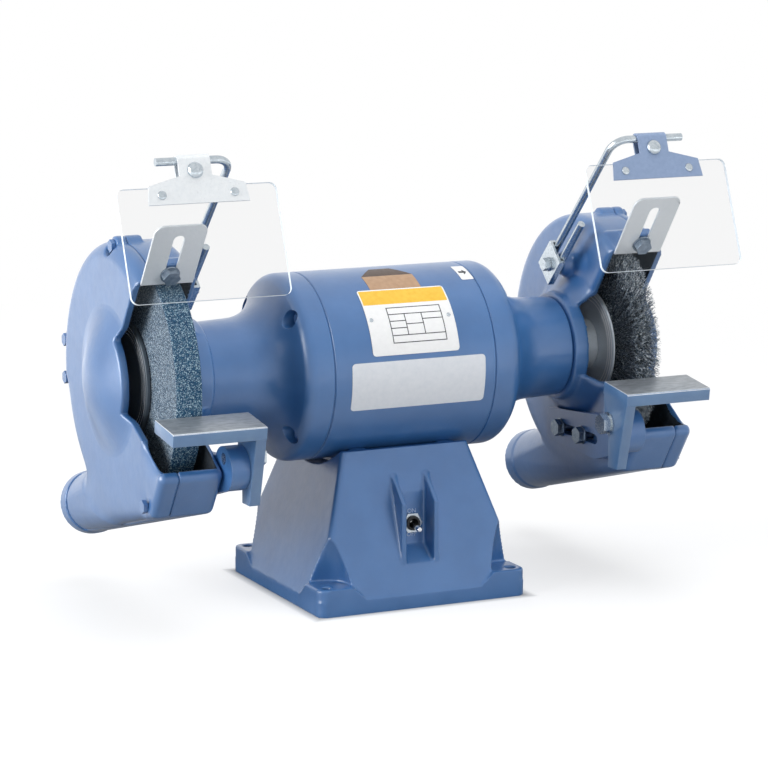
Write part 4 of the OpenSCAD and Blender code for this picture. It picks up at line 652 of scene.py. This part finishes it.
# Grinding wheel. Coarse vitrified grain, dark on its dressed rim and paler on its sides, with a
# paper blotter under each flange.

wheel_low, wheel_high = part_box("grinding_wheel")
wheel_r = (wheel_high.z - wheel_low.z) / 2.0


def from_axis(tree):
    """The distance of a point from the spindle's axis, in metres."""
    place = tree.nodes.new("ShaderNodeTexCoord")
    flat = tree.nodes.new("ShaderNodeVectorMath")
    flat.operation = "MULTIPLY_ADD"
    flat.inputs[1].default_value = (0.0, 1.0, 1.0)
    flat.inputs[2].default_value = (0.0, 0.0, -axis_z)
    length = tree.nodes.new("ShaderNodeVectorMath")
    length.operation = "LENGTH"
    tree.links.new(place.outputs["Object"], flat.inputs[0])
    tree.links.new(flat.outputs["Vector"], length.inputs[0])
    return length.outputs["Value"]


def grit(tree, size):
    """Packed grains about size metres across: the grain's own shade, and its height."""
    place = tree.nodes.new("ShaderNodeTexCoord")
    cells = tree.nodes.new("ShaderNodeTexVoronoi")
    cells.inputs["Scale"].default_value = 1.0 / size
    tree.links.new(place.outputs["Object"], cells.inputs["Vector"])
    return cells.outputs["Color"], cells.outputs["Distance"]


def blend(tree, factor, under, over):
    """One colour over another by a factor."""
    mix = tree.nodes.new("ShaderNodeMix")
    mix.data_type = "RGBA"
    tree.links.new(factor, mix.inputs["Factor"])
    tree.links.new(under, mix.inputs["A"])
    tree.links.new(over, mix.inputs["B"])
    return mix.outputs["Result"]


grain_size = 0.00065
rim_edge = (0.0008, 0.0004)
stone, tree, shader = new_finish("vitrified_grain")
grain_shade, grain_height = grit(tree, grain_size)
side_grain = shades(tree, grain_shade, (0.25, colour(30, 52, 72)), (0.55, colour(82, 108, 130)),
                    (0.9, colour(198, 210, 219)))
rim_grain = shades(tree, grain_shade, (0.3, colour(12, 56, 90)), (0.62, colour(40, 92, 124)),
                   (0.88, colour(188, 214, 226)))
on_rim = spread(tree, from_axis(tree), 0.0, 1.0, wheel_r - rim_edge[0], wheel_r - rim_edge[1])
tree.links.new(blend(tree, on_rim, side_grain, rim_grain), shader.inputs["Base Color"])
tree.links.new(spread(tree, grain_height, 0.45, 0.85), shader.inputs["Roughness"])
relief(tree, shader, grain_height, 0.0005)
dress(stone, 0.0006, "grinding_wheel")
blotter_card = printed("blotter_card", colour(38, 40, 44), colour(48, 50, 55))
dress(blotter_card, 0.0, "wheel_blotters")


# Wire wheel. Crimped steel wires held between two pressed plates, each wire fixed at its foot and
# free at its tip, so the face is ragged. The tips are worn and painted paler as a highlight, and
# near-white glints are painted along the wires. A near-black ring of packed wire fills the space
# between their feet, its darkness painted shade.

brush_low, brush_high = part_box("wire_bristles")
brush_x = (brush_low.x + brush_high.x) / 2.0
brush_r = (brush_high.z - brush_low.z) / 2.0
plates_low, plates_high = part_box("wire_wheel_plates")
plates_r = (plates_high.z - plates_low.z) / 2.0
plates_w = plates_high.x - plates_low.x
wire_count = 7600
wire_rings = 9
wire_r = 0.00018
crimp = 0.0009
crimp_length = 0.0075
tip_bright_from, tip_bright_to = 0.022, 0.002

wire_steel, tree, shader = new_finish("brush_wire")
# A fine noise paints near-white glints along the wires, and from 22 mm to 2 mm short of the tips the
# wires turn paler: wear with a painted highlight.
painted_glints = mottle(tree, 0.0012, 4.0)
worn_and_highlit_tone = shades(tree, painted_glints, (0.4, colour(66, 82, 96)), (0.52, colour(150, 166, 180)),
                   (0.6, colour(246, 250, 252)))
wire_tone = shades(tree, painted_glints, (0.44, colour(40, 52, 62)), (0.56, colour(78, 95, 110)),
                   (0.64, colour(240, 245, 248)))
at_tips = spread(tree, from_axis(tree), 0.0, 1.0, brush_r - tip_bright_from, brush_r - tip_bright_to)
tree.links.new(blend(tree, at_tips, wire_tone, worn_and_highlit_tone), shader.inputs["Base Color"])
tree.links.new(spread(tree, mottle(tree, 0.003), 0.22, 0.38), shader.inputs["Roughness"])
shader.inputs["Metallic"].default_value = 0.5

wire_bite = 0.004
ragged = 0.0045
crowned = 0.005
lane_stray = 0.3
swept = 0.06


def brush():
    """The wires, each from its foot between the plates to its own ragged tip."""
    draw = random.Random(7)
    mesh = bmesh.new()
    foot_r = plates_r - wire_bite
    half_foot = plates_w * 0.36
    half_tip = (brush_high.x - brush_low.x) / 2.0 - wire_r * 2.0
    for n in range(wire_count):
        turn = 2.0 * math.pi * (n + draw.random()) / wire_count * 61.0
        lane = draw.uniform(-1.0, 1.0)
        tip_lane = max(-1.0, min(1.0, lane + draw.gauss(0.0, lane_stray)))
        tip_r = brush_r - wire_r * 2.0 - abs(draw.gauss(0.0, ragged)) - crowned * tip_lane ** 4
        sway = draw.gauss(0.0, swept)
        phase = draw.uniform(0.0, 2.0 * math.pi)
        plane = draw.uniform(0.0, 2.0 * math.pi)
        rings = []
        for k in range(wire_rings + 1):
            t = k / wire_rings
            r = foot_r + (tip_r - foot_r) * t
            wave = crimp * math.sin(phase + (r - foot_r) / crimp_length * 2.0 * math.pi)
            x = brush_x + half_foot * lane * (1.0 - t) + half_tip * tip_lane * t
            x += wave * math.cos(plane) * min(1.0, 3.0 * (1.0 - abs(2.0 * t - 1.0)) + 0.3)
            a = turn + sway * t ** 2 + wave * math.sin(plane) / r
            x = min(max(x, brush_x - half_tip), brush_x + half_tip)
            ring = []
            for s in range(3):
                b = phase + 2.0 * math.pi * s / 3.0
                around = a + wire_r * math.cos(b) / r
                ring.append(mesh.verts.new((x + wire_r * math.sin(b), r * math.cos(around),
                                            axis_z + r * math.sin(around))))
            rings.append(ring)
        for low, high in zip(rings, rings[1:]):
            for s in range(3):
                mesh.faces.new((low[s], low[(s + 1) % 3], high[(s + 1) % 3], high[s]))
        mesh.faces.new(rings[0][::-1])
        mesh.faces.new(rings[-1])
    return mesh


new_piece("wire_brush", brush(), [wire_steel], "spindle", "dark_steel", "wire_bristles",
          crease=180.0)


def ring_shape(profile, x_mid, sides):
    """A closed ring turned about the spindle from (radius, x from x_mid) points in a loop."""
    mesh = bmesh.new()
    turns = [2.0 * math.pi * i / sides for i in range(sides)]
    loops = [[mesh.verts.new((x_mid + x, r * math.cos(t), axis_z + r * math.sin(t)))
              for r, x in profile] for t in turns]
    for here, there in zip(loops, loops[1:] + loops[:1]):
        for k in range(len(profile)):
            m = (k + 1) % len(profile)
            mesh.faces.new((here[k], here[m], there[m], there[k]))
    bmesh.ops.recalc_face_normals(mesh, faces=mesh.faces)
    return mesh


# The packed wire is near-black: painted shade for the wire deep between the feet.
packed_shade, tree, shader = new_finish("packed_wire_painted_shade")
streaks = mottle(tree, 0.0006, 3.0)
tree.links.new(shades(tree, streaks, (0.45, colour(6, 8, 10)), (0.7, colour(46, 54, 60))),
               shader.inputs["Base Color"])
tree.links.new(spread(tree, streaks, 0.5, 0.8), shader.inputs["Roughness"])
relief(tree, shader, streaks, 0.0006)
core_r = plates_r + 0.6 * (brush_r - plates_r)
core_bite = plates_r - 0.006
core_in = plates_w / 2.0 * 0.5
core_out = plates_w / 2.0 * 0.7
core_loop = [(core_bite, -core_in), (plates_r, -core_in), (core_r, -core_out),
             (core_r, core_out), (plates_r, core_in), (core_bite, core_in)]
new_piece("wire_core", ring_shape(core_loop, brush_x, 120), [packed_shade], "spindle", "dark_steel")


# Flanges and spindle nuts. Turned steel flanges grip each wheel, with three bright rings near the
# rim that are painted highlights. The outer ones are painted dark as shade, the inner ones and the
# wire wheel's plates pale as lit steel, and a hexagon nut holds each set.

ring_start, ring_end = 0.036, 0.048
ring_radii = (0.0386, 0.0417, 0.0449)


def turned_face(name, ground, ring_glint):
    """Turned steel with a ground tone, and three near-white rings near the rim as painted highlights."""
    material, tree, shader = new_finish(name)
    across_face = spread(tree, from_axis(tree), 0.0, 1.0, ring_start, ring_end)
    stops = [(0.0, ground)]
    for ring_r in ring_radii:
        at = (ring_r - ring_start) / (ring_end - ring_start)
        stops += [(at - 0.06, ground), (at - 0.03, ring_glint), (at + 0.03, ring_glint), (at + 0.06, ground)]
    tree.links.new(shades(tree, across_face, *stops), shader.inputs["Base Color"])
    tree.links.new(spread(tree, mottle(tree, 0.001), 0.26, 0.4), shader.inputs["Roughness"])
    shader.inputs["Metallic"].default_value = 0.2
    return material


# Near-white rings painted on the flanges as highlights; the outer flanges get a dark tone as painted
# shade and the inner ones a pale tone as painted light.
painted_ring_highlight = colour(252, 253, 254)
shaded_flange = turned_face("flange_painted_shade", colour(84, 94, 103), painted_ring_highlight)
lit_flange = turned_face("flange_painted_light", colour(204, 212, 218), painted_ring_highlight)
dress(shaded_flange, 0.0005, "outer_flanges")
dress(lit_flange, 0.0005, "inner_flanges", "wire_wheel_plates")
dress(dark_steel, 0.0004, "spindle_nuts")


# Spark guards. A slotted flat plate of plated steel over the top of each wheel, set down to the
# wheel as it wears and held by one hexagon bolt with a washer.

# Near-white and a little metallic, on the spark guards and the left bracket: the pale tone is partly the
# plating and partly a painted sheen standing in for a reflection of the pale floor.
plate_with_painted_sheen = steel("plated_sheet_painted_sheen", colour(231, 236, 240), colour(238, 242, 245), (0.26, 0.34),
                   metal=0.25)
dress(plate_with_painted_sheen, 0.0004, "left_spark_guard", "right_spark_guard")
bolt_zinc = steel("bolt_zinc", colour(112, 126, 142), colour(146, 158, 171), (0.26, 0.38))
dress(bolt_zinc, 0.0002, "spark_guard_bolts")


# Eye shields. A bent plated rod, clamped to the inner side of each guard, carries a clear plastic
# panel in a pressed bracket: two rivets hold the panel and one screw clamps the bracket to the rod.
# The left bracket is plated, and the right one is the same plate coloured a darker grey-blue as a
# painted reflection.

clear, tree, shader = new_finish("clear_sheet")
haze = mottle(tree, 0.012)
tree.links.new(shades(tree, haze, (0.3, colour(98, 110, 120)), (0.7, colour(108, 120, 130))),
               shader.inputs["Base Color"])
tree.links.new(spread(tree, haze, 0.01, 0.05), shader.inputs["Roughness"])
shader.inputs["Alpha"].default_value = 0.05
sawn, tree, shader = new_finish("sawn_edge_glow")
sawn_tone = shades(tree, mottle(tree, 0.002), (0.3, colour(206, 216, 223)), (0.7, colour(216, 225, 231)))
tree.links.new(sawn_tone, shader.inputs["Base Color"])
shader.inputs["Roughness"].default_value = 0.5
# The sawn edge glows a little, though it is no lamp: painted light that keeps it bright.
shader.inputs["Emission Color"].default_value = colour(240, 246, 250)
shader.inputs["Emission Strength"].default_value = 0.3


def shield(side):
    """The panel, with its sawn edges in a finish of their own that glows a little as painted light."""
    node = side + "_shield_panel"
    mesh = bmesh.new()
    mesh.from_mesh(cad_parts[node].data)
    bmesh.ops.remove_doubles(mesh, verts=mesh.verts, dist=weld)
    widest = max(mesh.faces, key=lambda face: face.calc_area()).normal.copy()
    for face in mesh.faces:
        face.material_index = 0 if abs(face.normal.dot(widest)) > 0.7 else 1
    new_piece(side + "_clear_panel", mesh, [clear, sawn], side + "_shield", "clear_sheet", node,
              crease=20.0)


# The right bracket's darker grey-blue is the same plate given a painted darker reflection.
darker_reflection_plate = steel("plate_painted_dark_reflection", colour(136, 156, 188), colour(144, 163, 195), (0.32, 0.42),
                   metal=0.3)
for side in ("left", "right"):
    shield(side)
    dress(zinc, 0.0, side + "_shield_arm")
    dress(zinc, 0.0004, side + "_arm_clamp", side + "_shield_rivets", side + "_shield_screw")
    dress(darker_reflection_plate if side == "right" else plate_with_painted_sheen, 0.0004, side + "_shield_bracket")
dress(zinc, 0.0004, "arm_clamp_bolts")


# Tool rests. A cast table with its top ground flat and left bare, on a leg in worn enamel; a pivot
# bolt holds it to a slotted bracket that slides on two bolts on the guard's inner side.

ground_top = steel("ground_top", colour(138, 145, 152), colour(174, 180, 187), (0.34, 0.5),
                   (3.0, 1.0, 1.0), 0.7)
# The edges round the table's top are worn steel, painted much paler than the ground top as a highlight.
worn_and_highlit_edge = steel("worn_and_highlit_edge", colour(214, 220, 226), colour(236, 240, 243), (0.3, 0.4), metal=0.4)
rest_enamel = enamel("worn_enamel", 0.00004, 0.0001, colour(74, 112, 156), colour(92, 128, 168))
rest_round = 0.0009
highlit_edge_deep = 0.0012


def tool_rest(side):
    """The rest with its cast edges rounded, its top left unpainted, and the edges round its top worn and
    painted brighter than the top as a highlight.
    """
    node = side + "_tool_rest"
    mesh = bmesh.new()
    mesh.from_mesh(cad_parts[node].data)
    bmesh.ops.remove_doubles(mesh, verts=mesh.verts, dist=weld)
    bmesh.ops.dissolve_limit(mesh, angle_limit=math.radians(0.5), verts=mesh.verts,
                             edges=mesh.edges)
    top = max((face for face in mesh.faces if face.normal.z > 0.9), key=lambda f: f.calc_area())
    top.material_index = 1
    sharp = [edge for edge in mesh.edges
             if len(edge.link_faces) == 2 and edge.calc_face_angle(0.0) > math.radians(40)]
    up = top.normal.copy()
    on_top = top.calc_center_median()
    rounds = bmesh.ops.bevel(mesh, geom=sharp, offset=rest_round, segments=2, profile=0.5,
                             affect="EDGES", clamp_overlap=True, material=0)
    for face in rounds["faces"]:
        if min((vert.co - on_top).dot(up) for vert in face.verts) > -highlit_edge_deep:
            face.material_index = 2
    new_piece(side + "_rest_table", mesh, [rest_enamel, ground_top, worn_and_highlit_edge], side + "_rest",
              "painted_cast", node)


for side in ("left", "right"):
    tool_rest(side)
    dress(cast_enamel, 0.0008, side + "_rest_bracket")
    dress(zinc, 0.0003, side + "_pivot_bolt")
dress(bolt_zinc, 0.0003, "bracket_bolts")


# Floor, light and camera. A plain pale floor that runs off to white, with a painted shadow round
# the foot of the base and painted shade in its reflections near and behind the grinder; a strong
# soft box at the left with weaker ones above, in front, at the right and behind, and a long lens a
# little above the grinder, towards its left.

floor_mesh = bmesh.new()
bmesh.ops.create_grid(floor_mesh, x_segments=1, y_segments=1, size=30.0)
floor_data = bpy.data.meshes.new("floor")
floor_mesh.to_mesh(floor_data)
floor_mesh.free()
floor = bpy.data.objects.new("floor", floor_data)
bpy.context.collection.objects.link(floor)


def sums(tree, operation, first, second):
    """Two values put together by a sum of the given kind."""
    node = tree.nodes.new("ShaderNodeMath")
    node.operation = operation
    tree.links.new(first, node.inputs[0])
    tree.links.new(second, node.inputs[1])
    return node.outputs["Value"]


def seen_white(tree):
    """1 for a ray from the camera or through glass, and 1 for a ray off gloss; else 0."""
    path = tree.nodes.new("ShaderNodeLightPath").outputs
    straight = sums(tree, "MAXIMUM", path["Is Camera Ray"], path["Is Transmission Ray"])
    return straight, path["Is Glossy Ray"]


pale, tree, shader = new_finish("pale_floor")
tree.nodes.remove(shader)
cover = tree.nodes.new("ShaderNodeBsdfDiffuse")
glow = tree.nodes.new("ShaderNodeEmission")
both = tree.nodes.new("ShaderNodeAddShader")
place = tree.nodes.new("ShaderNodeTexCoord")
away = tree.nodes.new("ShaderNodeVectorMath")
away.operation = "LENGTH"
tree.links.new(place.outputs["Object"], away.inputs[0])
seen, glossed = seen_white(tree)


def clear_of(tree, spot, middle_xy, half_xy, start, end):
    """0 in a rectangle of the floor and 1 outside it, fading from start to end of its half sizes."""
    moved = tree.nodes.new("ShaderNodeVectorMath")
    moved.operation = "SUBTRACT"
    moved.inputs[1].default_value = (*middle_xy, 0.0)
    share = tree.nodes.new("ShaderNodeVectorMath")
    share.operation = "DIVIDE"
    share.inputs[1].default_value = (*half_xy, 1.0)
    size = tree.nodes.new("ShaderNodeVectorMath")
    size.operation = "ABSOLUTE"
    parts = tree.nodes.new("ShaderNodeSeparateXYZ")
    tree.links.new(spot, moved.inputs[0])
    tree.links.new(moved.outputs["Vector"], share.inputs[0])
    tree.links.new(share.outputs["Vector"], size.inputs[0])
    tree.links.new(size.outputs["Vector"], parts.inputs["Vector"])
    reach = sums(tree, "MAXIMUM", parts.outputs["X"], parts.outputs["Y"])
    return spread(tree, reach, 0.0, 1.0, start, end)


# Under the foot the floor's glow is taken away, and it fades back in just outside the foot: a painted
# contact shadow round the base.
foot_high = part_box("base_casting")[1]
clear_of_painted_foot_shadow = clear_of(tree, place.outputs["Object"], (0.0, 0.0), (foot_high.x, foot_high.y), 0.97, 1.1)
# In gloss the floor is darkened in a box behind and under the grinder: painted shade in the grinder's
# reflections.
out_of_painted_shade = clear_of(tree, place.outputs["Object"], (0.04, 0.3), (0.3, 0.4), 0.75, 1.15)
paper = sums(tree, "MAXIMUM", spread(tree, seen, 0.0, 0.5, 0.0, 1.0),
             sums(tree, "MULTIPLY", glossed, out_of_painted_shade))
matt = shades(tree, paper, (0.0, colour(140, 141, 142)), (0.5, colour(176, 177, 178)),
              (1.0, colour(242, 243, 244)))
far = spread(tree, away.outputs["Value"], 0.0, 1.0, 0.5, 1.6)
dimmed = tree.nodes.new("ShaderNodeVectorMath")
dimmed.operation = "SCALE"
tree.links.new(matt, dimmed.inputs[0])
seen_far = sums(tree, "MULTIPLY", seen, far)
tree.links.new(spread(tree, seen_far, 1.0, 0.0, 0.0, 1.0), dimmed.inputs["Scale"])
tree.links.new(dimmed.outputs["Vector"], cover.inputs["Color"])
lit = sums(tree, "MULTIPLY", seen, clear_of_painted_foot_shadow)
plain = sums(tree, "MULTIPLY", spread(tree, far, 0.64, 1.0, 0.0, 1.0), lit)
# In gloss the floor's glow is gone within 0.7 m of the grinder and full from 2 m: painted shade in the
# reflections of the floor beneath it.
clear_of_painted_near_shade = spread(tree, away.outputs["Value"], 0.0, 1.0, 0.7, 2.0)
mirrored = sums(tree, "MULTIPLY", clear_of_painted_near_shade, glossed)
tree.links.new(sums(tree, "MAXIMUM", plain, mirrored), glow.inputs["Strength"])
tree.links.new(cover.outputs["BSDF"], both.inputs[0])
tree.links.new(glow.outputs["Emission"], both.inputs[1])
tree.links.new(both.outputs["Shader"], tree.nodes["Material Output"].inputs["Surface"])
floor_data.materials.append(pale)

world = bpy.data.worlds.new("studio")
world.use_nodes = True
tree = world.node_tree
sky = tree.nodes["Background"]
white = sums(tree, "MAXIMUM", *seen_white(tree))
tree.links.new(spread(tree, white, 0.1, 1.0, 0.0, 1.0), sky.inputs["Strength"])
sky.inputs["Color"].default_value = (1.0, 1.0, 1.0, 1.0)
bpy.context.scene.world = world


def lamp(name, place, aim, size, power, mirrored=True):
    """A square soft box that looks at aim, and shows in gloss where mirrored."""
    data = bpy.data.lights.new(name, "AREA")
    data.size = size
    data.energy = power
    box = bpy.data.objects.new(name, data)
    box.location = place
    box.rotation_euler = (Vector(aim) - Vector(place)).to_track_quat("-Z", "Y").to_euler()
    box.visible_glossy = mirrored
    bpy.context.collection.objects.link(box)


middle = (0.0, 0.0, axis_z)
lamp("left_box", (-2.3, 0.0, 0.8), middle, 1.5, 60.0)
lamp("top_box", (0.4, -0.2, 2.1), middle, 1.8, 28.0, False)
lamp("front_box", (-0.6, -2.6, 0.4), middle, 1.6, 16.0, False)
lamp("right_box", (1.3, -2.3, 0.4), middle, 1.4, 32.0, False)
lamp("back_box", (0.8, 2.5, 1.0), middle, 1.8, 22.0, False)

camera_data = bpy.data.cameras.new("camera")
camera_data.lens = 143.73
camera_data.sensor_width = 36.0
camera = bpy.data.objects.new("camera", camera_data)
camera.location = (-1.0706, -2.2925, 0.6280)
turn, tilt = math.radians(25.167), math.radians(10.238)
behind = Vector((-math.sin(turn) * math.cos(tilt), -math.cos(turn) * math.cos(tilt),
                 math.sin(tilt)))
camera.rotation_euler = (-behind).to_track_quat("-Z", "Y").to_euler()
bpy.context.collection.objects.link(camera)
bpy.context.scene.camera = camera
bpy.context.scene.view_settings.view_transform = "Standard"
